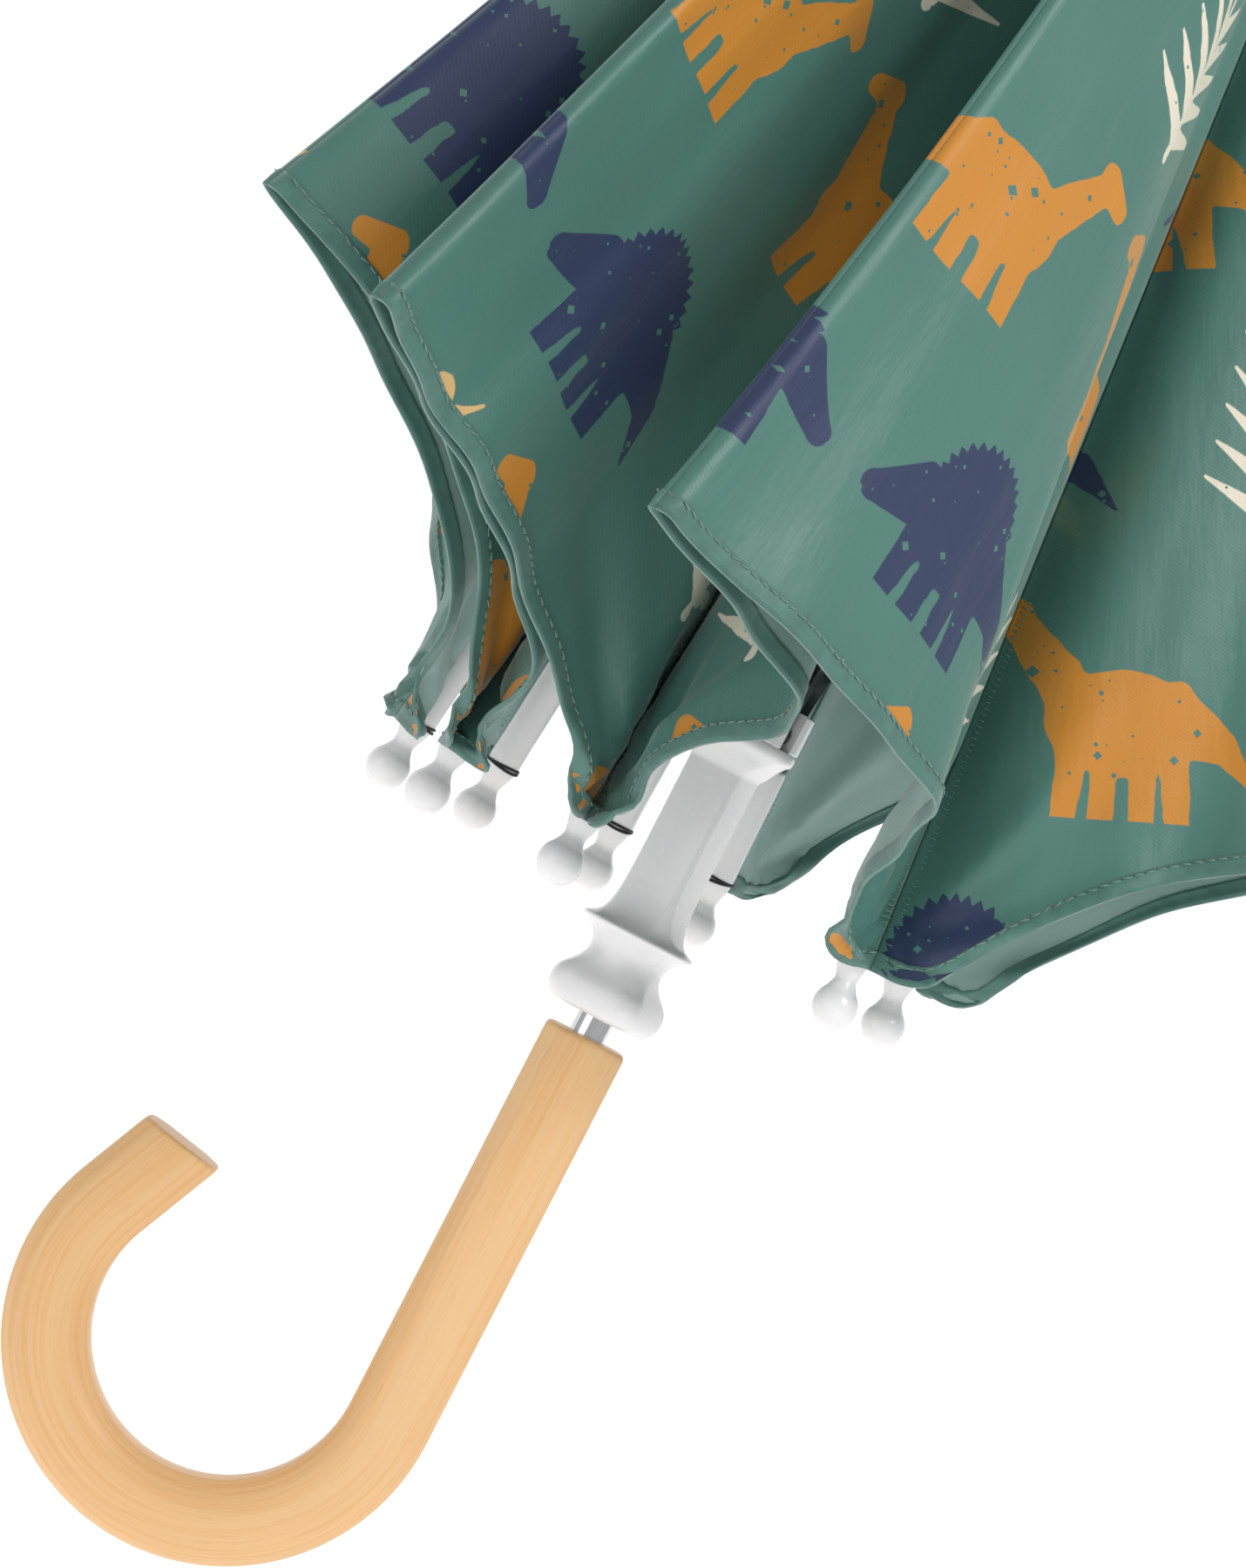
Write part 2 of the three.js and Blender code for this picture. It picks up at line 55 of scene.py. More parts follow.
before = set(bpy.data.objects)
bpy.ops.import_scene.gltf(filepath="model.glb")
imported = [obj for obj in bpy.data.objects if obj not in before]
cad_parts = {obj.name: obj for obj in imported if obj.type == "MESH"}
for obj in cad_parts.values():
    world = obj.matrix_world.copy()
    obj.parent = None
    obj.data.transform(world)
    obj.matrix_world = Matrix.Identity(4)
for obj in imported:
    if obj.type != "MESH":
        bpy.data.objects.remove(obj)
CAD_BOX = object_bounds()
MM = 0.001

# ---------------------------------------------------------------- the frame's sizes, in millimetres

CROWN_Z, CROWN_PIVOT_R = 514.0, 8.2
RIB_LENGTH, RIB_OPEN = 440.0, math.radians(59)
BALL_R, SLEEVE_LENGTH = 5.0, 36.0
CLOTH_OFFSET, HEM_AT_RIB = 4.8, 430.0
CROOK_CUT = math.radians(13)
RUNNER_TURN = 22.0
HANDLE_TOP, CROOK_Z, CROOK_R, CROOK_SWEEP, CROOK_END = 45.0, -50.5, 40.0, math.radians(204), 20.0
# each rib's azimuth in the crown, and where its ball hangs when closed
RIBS = ((-4, 57.8, 15.2), (41, 43.8, -36.8), (86, -22.7, -59.8), (131, -55.0, -39.0),
        (176, -66.7, 9.4), (221, -46.0, 47.9), (266, -15.8, 62.0), (311, 11.0, 57.0))
# each gore's fold when closed: its azimuth, and how far from the crown its cloth reaches there
FOLDS = ((10, 394), (104.8, 413), (124.2, 408), (141, 390), (233, 398), (256, 400), (276, 400), (318, 400))
# how far each half of a gore stands off its flat panel along the hem, in mm towards lower azimuths, at eleven even
# steps from its rib to its fold
STANDS = {
    "1a": (0, 3, 6, 8, 9, 9, 8, 6, 4, 2, 0), "1b": (0, -8, -13, -15, -15, -14, -12, -9, -6, -3, 0),
    "2a": (0, -5.5, 5, 20, 28, 30.5, 29, 25.5, 16.5, 6, 0), "2b": (0, 8.6, 13.5, 23.5, 31, 36, 37, 32, 22, 9, 0),
    "3a": (0, 3, -2, -3.5, -1.5, -3, -4.6, -3.4, -1.5, -1.5, 0), "3b": (0, 14, 24, 27, 24, 20, 16, 12, 8, 4, 0),
    "4a": (0, 16, 18, 15, 14.2, 13.1, 13.4, 12, 11.8, 6.9, 0), "4b": (0, 15, 22, 22, 18, 16.5, 14, 12.5, 10.5, 6.5, 0),
    "5a": (0, -5, -6, -6, -5, -5, -5, -5, -4, -2, 0), "5b": (0, 5, 9, 12, 14, 14, 12, 10, 7, 3, 0),
    "6a": (0, 4, 7, 9, 10, 10, 9, 7, 5, 2, 0), "6b": (0, 4, 8, 11, 13, 13, 12, 9, 6, 3, 0),
    "7a": (0, 3, 6, 8, 9, 9, 8, 6, 4, 2, 0), "7b": (0, 4, 8, 11, 12, 12, 11, 9, 6, 3, 0),
    "8a": (0, 5, 10, 14, 16, 16, 14, 11, 7, 3, 0), "8b": (0, 6, 12, 17, 20, 20, 17, 13, 9, 4, 0),
}
# how far each gore's fold bows between the crown and the hem, in mm towards lower azimuths
BOWS = (3, 17, 2, 9, 4, 4, 3, 4)
# where each gore was cut from the printed cloth, in metres
PRINT_SHIFTS = ((0.003, 0.384), (0.167, 0.317), (0.182, 0.328), (0.154, 0.346), (0.30, 0.37), (0.42, 0.33),
                (0.51, 0.35), (0.64, 0.39))
# how far a half leans over its own seam above the hem, in mm; the others lean out by 3
LEANS = {"2a": 11, "3a": 4, "1b": -9}

# how far a half bulges beside the tip that it is tied to, in mm; the others bulge out by 1.5
GATHERS = {"4b": 6, "3b": 7}

# the stage: what the camera looks at and how, the light from all round, and each lamp's place, size and power
CAMERA_TARGET, CAMERA_LEAN, CAMERA_BACK, CAMERA_LENS = (-0.0184, 0, 0.0984), math.radians(27.2), 1.3, 135.2
SOFT_LIGHT, SEEN_LIGHT, PAPER_GLOW = 0.43, 1.0, 0.38
LAMPS = (("key", (0.85, -1.0, 1.25), 0.75, 14), ("fill", (-1.3, -1.2, 0.2), 1.2, 3.6), ("top", (0.2, 0.5, 1.9), 0.9, 5))
LAMPS_AIM = Vector((0, 0, 0.15))


def unit(v):
    return v / np.linalg.norm(v)


def radial(azimuth):
    a = math.radians(azimuth)
    return np.array([math.cos(a), -math.sin(a), 0.0])


def turn(v, axis, angle):
    return v * math.cos(angle) + np.cross(axis, v) * math.sin(angle) + axis * axis.dot(v) * (1 - math.cos(angle))


def angle_of(a, b):
    return math.acos(max(-1.0, min(1.0, unit(a).dot(unit(b)))))


def slerp(a, b, s):
    whole = angle_of(a, b)
    return (a * math.sin((1 - s) * whole) + b * math.sin(s * whole)) / math.sin(whole)


UP = np.array([0.0, 0.0, 1.0])


class Rib:
    """One rib: where it is hinged, which way it lies closed and open, and the cloth's line above it."""

    def __init__(self, slot, x, y):
        out = radial(slot)
        self.hinge = out * CROWN_PIVOT_R + UP * CROWN_Z
        d = np.array([x, y, 0]) - np.array([self.hinge[0], self.hinge[1], 0])
        drop = math.sqrt(RIB_LENGTH**2 - d.dot(d))
        self.closed = (d - UP * drop) / RIB_LENGTH
        self.open = out * math.sin(RIB_OPEN) - UP * math.cos(RIB_OPEN)
        open_normal = out * math.cos(RIB_OPEN) + UP * math.sin(RIB_OPEN)
        axis, swing = unit(np.cross(self.closed, self.open)), angle_of(self.closed, self.open)
        self.normal = turn(open_normal, axis, -swing)
        self.side = unit(np.cross(self.closed, self.normal))
        self.apex = self.hinge + self.normal * CLOTH_OFFSET - self.closed * APEX_BACK
        self.line = self.hinge + self.normal * CLOTH_OFFSET


APEX_BACK = (CROWN_PIVOT_R + CLOTH_OFFSET * math.cos(RIB_OPEN)) / math.sin(RIB_OPEN)
ribs = [Rib(*r) for r in RIBS]
HALF_ANGLE = angle_of(ribs[0].open, ribs[1].open) / 2
REACH_AT_RIB = HEM_AT_RIB + APEX_BACK


class Gore:
    """One gore between two ribs: where its fold hangs when closed, and its two halves."""

    def __init__(self, k):
        a, b = ribs[k], ribs[(k + 1) % 8]
        self.apex = (a.apex + b.apex) / 2
        azimuth, self.reach = FOLDS[k]
        low, high = 0.0, math.radians(60)
        for _ in range(40):
            polar = (low + high) / 2
            self.fold = self.apex + (radial(azimuth) * math.sin(polar) - UP * math.cos(polar)) * self.reach
            first, second = angle_of(self.fold - a.apex, a.closed), angle_of(self.fold - b.apex, b.closed)
            low, high = (low, polar) if first + second > 2 * HALF_ANGLE else (polar, high)
        self.halves = {"a": Half(self, k, "a", a, first), "b": Half(self, k, "b", b, second)}
        self.bow_way = unit(self.halves["a"].normal + self.halves["b"].normal)


class Half:
    """Half a gore, hinged on one rib. Its surface takes s from 0 at the rib to 1 at the fold, and v from 0 at the
    crown to 1 at the hem."""

    def __init__(self, gore, k, letter, rib, angle):
        self.gore, self.rib, self.angle, self.letter, self.name = gore, rib, angle, letter, f"{k + 1}{letter}"
        self.number = k
        to_fold = gore.fold - rib.apex
        self.across = unit(to_fold - rib.closed * to_fold.dot(rib.closed))
        self.normal = unit(np.cross(self.across, rib.closed))
        lower = np.array([-radial(FOLDS[k][0])[1], radial(FOLDS[k][0])[0], 0.0])
        self.normal = self.normal * (1 if self.normal.dot(lower) > 0 else -1)  # towards lower azimuths
        self.outside = 1 if letter == "a" else -1
        self.to_fold = unit(gore.fold - gore.apex)
        self.body = f"gore_{self.name}"

    def reach(self, s):
        s = min(max(s, 0.0), 1.0)
        eased = 1.02 * s**3 / (s * s + 0.02)  # square to the rib at the tip, where the cloth is tied
        slack = 2.4 * math.exp(-((s - 0.075) / 0.045) ** 2) * min(1, s / 0.03)
        return self.gore.reach + (REACH_AT_RIB - self.gore.reach) * (1 - eased) ** 3.6 + slack

    def flat(self, s, reach):
        """The same point on the flat cut, in metres: across from the gore's middle, and down from its point."""
        angle = s * self.angle - HALF_ANGLE
        if self.letter == "b":
            angle = -angle
        return reach * math.sin(angle) * MM, reach * math.cos(angle) * MM

    def stand(self, s):
        """The hem's stand-off at s, by a smooth curve through the table."""
        row = STANDS[self.name]
        x = min(max(s, 0), 1) * 10
        i = min(int(x), 9)
        t = x - i
        before = row[i - 1] if i else 2 * row[0] - row[1]
        after = row[i + 2] if i < 9 else 2 * row[10] - row[9]
        m0, m1 = (row[i + 1] - before) / 2, (after - row[i]) / 2
        return ((2 * t**3 - 3 * t**2 + 1) * row[i] + (t**3 - 2 * t**2 + t) * m0
                + (3 * t**2 - 2 * t**3) * row[i + 1] + (t**3 - t**2) * m1)

    def lift(self, s, v, reach):
        """How far the cloth stands off its flat panel, towards lower azimuths."""
        d = self.stand(s) * v**1.6
        # above the hem the cloth leans over its seam at once
        lean = LEANS.get(self.name, 3 * self.outside)
        d += lean * math.exp(-((s - 0.12) / 0.1) ** 2) * min(1, s / 0.05) * v * min(1, (1 - v) / 0.12)
        width = reach * math.sin(self.angle)
        from_fold, from_rib = (1 - s) * width, s * width
        # the fold is a soft bend, not a crease
        bend = 3.0 * v**0.7
        x = min(from_fold / bend, 1) if bend > 1e-6 else 1
        round_fold = bend * math.sqrt(max(0.0, 1 - (1 - x) ** 2)) * min(1.0, from_rib / 22) ** 1.2
        d += self.outside * round_fold
        # long soft creases that run from the crown and fade towards the seams
        seed = self.number * 1.7 + (0.9 if self.letter == "b" else 0)
        fade = math.sin(math.pi * min(max(s, 0), 1)) ** 0.8 * v**1.3
        d += 1.9 * fade * math.sin(2 * math.pi * (2.3 * s + 0.5 * v + seed))
        d += 0.8 * fade * math.sin(2 * math.pi * (5.1 * s - 0.9 * v + 2.3 * seed))
        # pleats that spread from where the cloth is tied to the tip
        dx, dy = from_rib, REACH_AT_RIB - reach
        away = math.hypot(dx, dy)
        spread = math.atan2(dx, max(dy, 0.01))
        grip = (away / 24) * math.exp(1 - away / 24) * min(1, from_rib / 4)
        d += grip * (1.5 * math.sin(spread * 10 + seed) + 0.6 * math.sin(spread * 23 + 2 * seed))
        # the cloth bulges beside the tip
        gather = GATHERS.get(self.name, 1.5 * self.outside)
        d += gather * math.exp(-((s - 0.055) / 0.035) ** 2) * min(1, s / 0.02) * v**9
        # the hem waves a little
        hem = math.exp(-(1 - v) * 22)
        along = s * self.reach(s) * self.angle
        d += hem * min(1, from_rib / 12) * min(1, from_fold / 12) * (
            1.0 * math.sin(along / 8.5 + seed * 3) + 0.5 * math.sin(along / 3.9 + seed))
        return d

    def point(self, s, v, off=0.0, past=0.0):
        """A point of the cloth in metres, off standing out from its outside in millimetres, past beyond the hem."""
        inner = 12.0
        reach = inner + (self.reach(s) - inner) * v + past
        apex = self.rib.apex * (1 - s) + self.gore.apex * s
        p = apex + slerp(self.rib.closed, self.to_fold, s) * reach
        bow = BOWS[self.number] * 2.6 * v**1.3 * max(0.0, 1 - v) * s**1.5
        p = p + self.gore.bow_way * bow
        return (p + self.normal * (self.lift(s, min(v, 1.0), reach) + self.outside * off)) * MM, reach

    def flatten(self, o):
        """Gives the piece a mesh of its own."""
        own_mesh(o)


gores = [Gore(k) for k in range(8)]
halves = [h for g in gores for h in g.halves.values()]


# ---------------------------------------------------------------- small mesh helpers

def new_piece(name, points, faces, material=None, sharp=None):
    me = bpy.data.meshes.new(name)
    me.from_pydata([tuple(map(float, p)) for p in points], [], faces)
    me.validate()
    me.polygons.foreach_set("use_smooth", [True] * len(me.polygons))
    if sharp:
        me.set_sharp_from_angle(angle=math.radians(sharp))
    o = bpy.data.objects.new(name, me)
    bpy.context.scene.collection.objects.link(o)
    for m in material if isinstance(material, (list, tuple)) else [material]:
        if m:
            me.materials.append(m)
    return o


def outward(o):
    """Turns a closed mesh's faces to point out."""
    bm = bmesh.new()
    bm.from_mesh(o.data)
    bmesh.ops.remove_doubles(bm, verts=bm.verts, dist=1e-7)
    bmesh.ops.recalc_face_normals(bm, faces=bm.faces)
    bm.to_mesh(o.data)
    bm.free()
    return o


def lofted(rings, closed_ends=True):
    """(points, faces) of a skin through rings of points that all turn the same way."""
    n, points, faces = len(rings[0]), [p for r in rings for p in r], []
    for r in range(len(rings) - 1):
        for i in range(n):
            a, b = r * n + i, r * n + (i + 1) % n
            faces.append((a, b, b + n, a + n))
    if closed_ends:
        faces.append(tuple(range(n))[::-1])
        faces.append(tuple((len(rings) - 1) * n + i for i in range(n)))
    return points, faces


def closing(rings):
    """The faces that join the last ring back to the first."""
    n = len(rings[0])
    k = (len(rings) - 1) * n
    return [(k + i, k + (i + 1) % n, (i + 1) % n, i) for i in range(n)]


def rounded(a, b, r, per_corner=8, chamfer=0.0):
    """The outline of a rounded rectangle of half-sizes a and b, its corners cut flatter by chamfer, 0 to 1."""
    out = []
    for c in range(4):
        for i in range(per_corner):
            t = math.radians(90 * c + 90 * (i + 0.5) / per_corner)
            sx, sy = (1, -1, -1, 1)[c], (1, 1, -1, -1)[c]
            flat = math.cos(math.pi / 4) / math.cos(t % (math.pi / 2) - math.pi / 4)
            k = r * (1 - chamfer * (1 - flat))
            out.append((sx * (a - r) + k * math.cos(t), sy * (b - r) + k * math.sin(t)))
    return out


def subdivided(o, levels=1):
    m = o.modifiers.new("finer", "SUBSURF")
    m.levels = m.render_levels = levels
    return o


def plain_mesh(o, name):
    """The evaluated object as a plain mesh with no modifiers."""
    bpy.context.view_layer.update()
    me = bpy.data.meshes.new_from_object(o.evaluated_get(bpy.context.evaluated_depsgraph_get()))
    me.name = name
    old = o.data
    o.modifiers.clear()
    o.data = me
    bpy.data.meshes.remove(old)
    return o


# ---------------------------------------------------------------- materials

class Value:
    """A shader socket that takes part in sums."""

    def __init__(self, nodes, socket):
        self.nodes, self.socket = nodes, socket

    def _math(self, kind, *others):
        return self.nodes.add("ShaderNodeMath", {"operation": kind}, [self, *others])

    def __add__(self, o):
        return self._math("ADD", o)

    __radd__ = __add__

    def __sub__(self, o):
        return self._math("SUBTRACT", o)

    def __rsub__(self, o):
        return self.nodes.add("ShaderNodeMath", {"operation": "SUBTRACT"}, [o, self])

    def __mul__(self, o):
        return self._math("MULTIPLY", o)

    __rmul__ = __mul__

    def __truediv__(self, o):
        return self._math("DIVIDE", o)

    def __pow__(self, o):
        return self._math("POWER", o)

    def fn(self, kind, *others):
        return self._math(kind, *others)


class Finish:
    """A node material in the making."""

    def __init__(self, name):
        self.material = bpy.data.materials.new(name)
        self.material.use_nodes = True
        self.tree = self.material.node_tree
        self.tree.nodes.clear()
        self.bsdf = self.tree.nodes.new("ShaderNodeBsdfPrincipled")
        out = self.tree.nodes.new("ShaderNodeOutputMaterial")
        self.tree.links.new(self.bsdf.outputs[0], out.inputs[0])

    def add(self, kind, settings=None, inputs=(), output=0):
        node = self.tree.nodes.new(kind)
        for key, value in (settings or {}).items():
            setattr(node, key, value)
        pairs = inputs.items() if isinstance(inputs, dict) else enumerate(inputs)
        for key, value in pairs:
            self.put(node.inputs[key], value)
        return Value(self, node.outputs[output])

    def vector(self, operation, *values, output=0):
        return self.add("ShaderNodeVectorMath", {"operation": operation}, values, output)

    def split(self, value):
        """The first two parts of a vector."""
        outputs = self.add("ShaderNodeSeparateXYZ", {}, [value]).socket.node.outputs
        return Value(self, outputs[0]), Value(self, outputs[1])

    def put(self, socket, value):
        if isinstance(value, Value):
            self.tree.links.new(value.socket, socket)
        elif value is not None:
            if hasattr(socket.default_value, "__len__") and len(socket.default_value) == 4 and len(value) == 3:
                value = (*value, 1)
            socket.default_value = value

    def shade(self, **values):
        for key, value in values.items():
            self.put(self.bsdf.inputs[key.replace("_", " ")], value)
        return self.material

    def coordinates(self, kind="Object"):
        node = self.tree.nodes.new("ShaderNodeTexCoord")
        return Value(self, node.outputs[kind])

    def noise(self, where, scale, detail=3.0, rough=0.5, stretch=None):
        if stretch:
            where = self.vector("MULTIPLY", where, stretch)
        values = {"Vector": where, "Scale": scale, "Detail": detail, "Roughness": rough}
        return self.add("ShaderNodeTexNoise", {}, values)

    def mix(self, amount, a, b, kind="MIX"):
        node = self.tree.nodes.new("ShaderNodeMix")
        node.data_type, node.blend_type = "RGBA", kind
        for socket, value in ((node.inputs[0], amount), (node.inputs[6], a), (node.inputs[7], b)):
            self.put(socket, value)
        return Value(self, node.outputs[2])

    def ramp(self, value, low, high, to_low=0.0, to_high=1.0):
        return self.add("ShaderNodeMapRange", {"interpolation_type": "SMOOTHSTEP"}, [value, low, high, to_low, to_high])

    def bump(self, height, strength=0.3, distance=0.001):
        node = self.tree.nodes.new("ShaderNodeBump")
        self.put(node.inputs["Height"], height)
        node.inputs["Strength"].default_value = strength
        node.inputs["Distance"].default_value = distance
        return Value(self, node.outputs[0])


def rgb(r, g, b):
    """A linear colour from an sRGB one in 0-255."""
    return tuple((c / 255 / 12.92) if c / 255 <= 0.04045 else ((c / 255 + 0.055) / 1.055) ** 2.4 for c in (r, g, b))


made = {}


def finish(name):
    if name not in made:
        made[name] = MAKERS[name]()
    return made[name]


class Print:
    """Drawing with distances: each shape gives how far a point is outside it, in units of half an animal's length."""

    def __init__(self, f, where):
        self.f, self.p = f, where

    def limb(self, x0, y0, x1, y1, r0, r1):
        """A rod with round ends that tapers from r0 to r1."""
        f, dx, dy = self.f, x1 - x0, y1 - y0
        rel = f.vector("SUBTRACT", self.p, (x0, y0, 0))
        along = f.vector("DOT_PRODUCT", rel, (dx, dy, 0), output=1)
        h = f.add("ShaderNodeMath", {"operation": "DIVIDE", "use_clamp": True}, [along, dx * dx + dy * dy])
        foot = f.add("ShaderNodeVectorMath", {"operation": "SCALE"}, {0: (dx, dy, 0), 3: h})
        far = f.vector("DISTANCE", rel, foot, output=1)
        return far - f.add("ShaderNodeMath", {"operation": "MULTIPLY_ADD"}, [h, r1 - r0, r0])

    def oval(self, x, y, a, b):
        f = self.f
        rel = f.vector("SUBTRACT", self.p, (x, y, 0))
        rel = f.vector("MULTIPLY", rel, (1 / a, 1 / b, 0))
        size = f.vector("LENGTH", rel, output=1)
        return (size - 1.0) * min(a, b)

    def crest(self, x, y, r, teeth, height):
        """A round crest with teeth round its rim."""
        f = self.f
        rel = f.vector("SUBTRACT", self.p, (x, y, 0))
        size = f.vector("LENGTH", rel, output=1)
        along, up = f.split(rel)
        angle = up.fn("ARCTAN2", along)
        wave = f.add("ShaderNodeMath", {"operation": "PINGPONG"}, [angle * (teeth / math.pi), 0.5])
        return size - r - wave * (2 * height)

    @staticmethod
    def join(shapes, soft=0.0):
        out = shapes[0]
        for s in shapes[1:]:
            out = out.fn("SMOOTH_MIN", s, soft) if soft else out.fn("MINIMUM", s)
        return out


def cloth_outside():
    """Green satin twill printed with four kinds of motif in staggered rows, each speckled."""
    c = bpy.context.scene.umbrella_colours
    f = Finish("printed_cloth")
    uv = f.coordinates("UV")
    object_place = f.coordinates("Object")
    tint = f.noise(object_place, 14.0, 2.0)
    ground = f.mix(f.ramp(tint, 0.35, 0.65), tuple(c.cloth), tuple(x * 0.93 for x in c.cloth))
    # the print's cells: rows 60 mm apart, every other one half a step along
    across, down = f.split(uv)
    row_size, step, half_length = 0.060, 0.066, 0.0272
    row = (down / row_size).fn("FLOOR")
    odd = row.fn("FLOORED_MODULO", 2.0)
    column_place = across / step + odd * 0.5
    column = column_place.fn("FLOOR")
    third = (column + row * 2.0).fn("FLOORED_MODULO", 3.0).fn("GREATER_THAN", 1.5)
    chosen = ((1.0 - odd) * (1.0 - third), odd * (1.0 - third), (1.0 - odd) * third, odd * third)
    flip = 1.0 - (column + row).fn("FLOORED_MODULO", 2.0) * 2.0
    lx = (column_place - column - 0.5) * (step / half_length) * flip
    ly = (0.46 - (down / row_size - row)) * (row_size / half_length) / 1.22
    wobble = f.noise(uv, 160.0, 2.0)
    local = f.add("ShaderNodeCombineXYZ", {}, [lx + (wobble - 0.5) * 0.05, ly + (wobble - 0.5) * 0.04, 0.0])
    p = Print(f, local)
    legs = Print.join([p.limb(-0.36, -0.1, -0.42, -0.62, 0.13, 0.105), p.limb(-0.1, -0.15, -0.12, -0.6, 0.11, 0.1),
                       p.limb(0.2, -0.15, 0.2, -0.62, 0.11, 0.1), p.limb(0.42, -0.1, 0.5, -0.6, 0.14, 0.105)])
    legs = legs.fn("MAXIMUM", -0.62 - ly)
    body = p.oval(0.03, 0.0, 0.62, 0.34)
    tail = Print.join([p.limb(0.45, 0.05, 0.85, -0.12, 0.24, 0.11), p.limb(0.85, -0.12, 1.12, -0.42, 0.11, 0.012)])
    trunk = Print.join([body, legs, tail], 0.06)
    long_neck = Print.join([trunk, p.limb(-0.38, 0.12, -0.78, 0.66, 0.2, 0.11),
                            p.limb(-0.78, 0.7, -1.0, 0.62, 0.12, 0.08)], 0.05)
    crested = Print.join([trunk, p.crest(0.02, 0.12, 0.5, 17, 0.055).fn("MAXIMUM", -0.02 - ly),
                          p.limb(-0.5, 0.02, -0.95, -0.2, 0.22, 0.1)])
    horned = Print.join([trunk, p.oval(-0.5, 0.26, 0.25, 0.33), p.limb(-0.5, 0.05, -0.95, -0.14, 0.22, 0.11),
                         p.limb(-0.6, 0.3, -0.86, 0.66, 0.08, 0.012), p.limb(-0.9, 0.0, -1.02, 0.26, 0.06, 0.01)])
    leaves = Print.join([p.limb(0.0, -0.6, 0.06, 0.75, 0.05, 0.035)] + [
        p.limb(0.01 * i, -0.45 + 0.21 * i, sign * (0.62 - 0.07 * i), -0.18 + 0.24 * i, 0.085, 0.012)
        for i in range(5) for sign in (-1, 1)])
    colour, cover, worn = ground, None, None
    for scale, most, share in ((230.0, 0.36, 0.46), (520.0, 0.30, 0.30)):
        bits = f.tree.nodes.new("ShaderNodeTexVoronoi")
        bits.distance = "MANHATTAN"
        f.put(bits.inputs["Vector"], uv)
        bits.inputs["Scale"].default_value = scale
        chance = f.add("ShaderNodeSeparateColor", {}, [Value(f, bits.outputs["Color"])])
        far = Value(f, bits.outputs["Distance"])
        size = f.ramp(chance, 1 - share, 1.0, 0.0, most)
        hole = f.ramp(far - size, -0.03, 0.03, 1.0, 0.0) * f.ramp(size, 0.02, 0.06)
        worn = hole if worn is None else worn.fn("MAXIMUM", hole)
    shapes = ((long_neck, tuple(c.first_print)), (crested, tuple(c.second_print)),
              (horned, tuple(c.third_print)), (leaves, tuple(c.fourth_print)))
    for number, (shape, ink) in enumerate(shapes):
        inked = f.ramp(shape, -0.006, 0.006, 1.0, 0.0) * chosen[number] * (1.0 - worn)
        colour = f.mix(inked, colour, ink)
        cover = inked if cover is None else cover + inked
    # fine diagonal ribs of the twill, and the cloth's slight shine between them
    diagonal = (across * 4200.0 + down * 6400.0).fn("SINE")
    creases = f.noise(uv, 1.0, 4.0, 0.55, (85.0, 20.0, 1.0)) + f.noise(uv, 60.0, 3.0) * 0.35
    relief = f.bump(diagonal * 0.006 + f.noise(uv, 1500.0, 2.0) * 0.012 + creases, 0.26, 0.0035)
    uneven = f.noise(uv, 34.0, 2.0)
    roughness = f.ramp(uneven, 0.3, 0.7, 0.42, 0.52) + cover * 0.05
    return f.shade(Base_Color=colour, Roughness=roughness, Normal=relief, Specular_IOR_Level=0.5,
                   Sheen_Weight=0.35, Sheen_Roughness=0.4, Sheen_Tint=(0.8, 0.95, 0.9, 1))


def cloth_inside():
    """The unprinted side, paler and duller."""
    c = bpy.context.scene.umbrella_colours
    f = Finish("cloth_inside")
    uv = f.coordinates("UV")
    across, down = f.split(uv)
    weave = (across * 4200.0 - down * 6400.0).fn("SINE")
    tint = f.noise(uv, 30.0, 3.0)
    colour = f.mix(f.ramp(tint, 0.3, 0.7), tuple(c.lining), tuple(x * 0.9 for x in c.lining))
    return f.shade(Base_Color=colour, Roughness=f.ramp(tint, 0.3, 0.7, 0.55, 0.65),
                   Normal=f.bump(weave * 0.25 + f.noise(uv, 1500.0, 2.0), 0.06, 0.0003), Sheen_Weight=0.3)


def hem_cloth():
    """The cloth turned over twice along the hem: the ground colour, a little puckered, with painted shade in the
    puckers' hollows.
    """
    c = bpy.context.scene.umbrella_colours
    f = Finish("hem_cloth")
    uv = f.coordinates("UV")
    tint = f.noise(uv, 260.0, 2.0)
    # uneven tone that is darkest where the pucker's bump is lowest: painted shade in the hollows
    colour = f.mix(f.ramp(tint, 0.3, 0.7), tuple(x * 0.82 for x in c.cloth), tuple(c.cloth))
    return f.shade(Base_Color=colour, Roughness=0.5, Normal=f.bump(tint, 0.35, 0.0008), Sheen_Weight=0.3)


def thread(name, colour, fuzz=0.08):
    def make():
        f = Finish(name)
        place = f.coordinates("Object")
        tint = f.noise(place, 3000.0, 2.0)
        shade = f.mix(f.ramp(tint, 0.3, 0.7), colour, tuple(x * (1 - fuzz * 3) for x in colour))
        return f.shade(Base_Color=shade, Roughness=0.6, Sheen_Weight=0.2)
    return make


def moulded_white():
    """Glossy white plastic, a touch translucent, with faint flow marks."""
    c = bpy.context.scene.umbrella_colours
    f = Finish("white_plastic")
    place = f.coordinates("Object")
    flow = f.noise(place, 45.0, 3.0, 0.6)
    colour = f.mix(f.ramp(flow, 0.3, 0.7), tuple(c.plastic), tuple(x * 0.965 for x in c.plastic))
    return f.shade(Base_Color=colour, Roughness=f.ramp(flow, 0.3, 0.7, 0.2, 0.3), Coat_Weight=0.3, Coat_Roughness=0.12,
                   Subsurface_Weight=0.08, Subsurface_Scale=0.002,
                   Normal=f.bump(f.noise(place, 130.0, 2.0), 0.06, 0.0006))


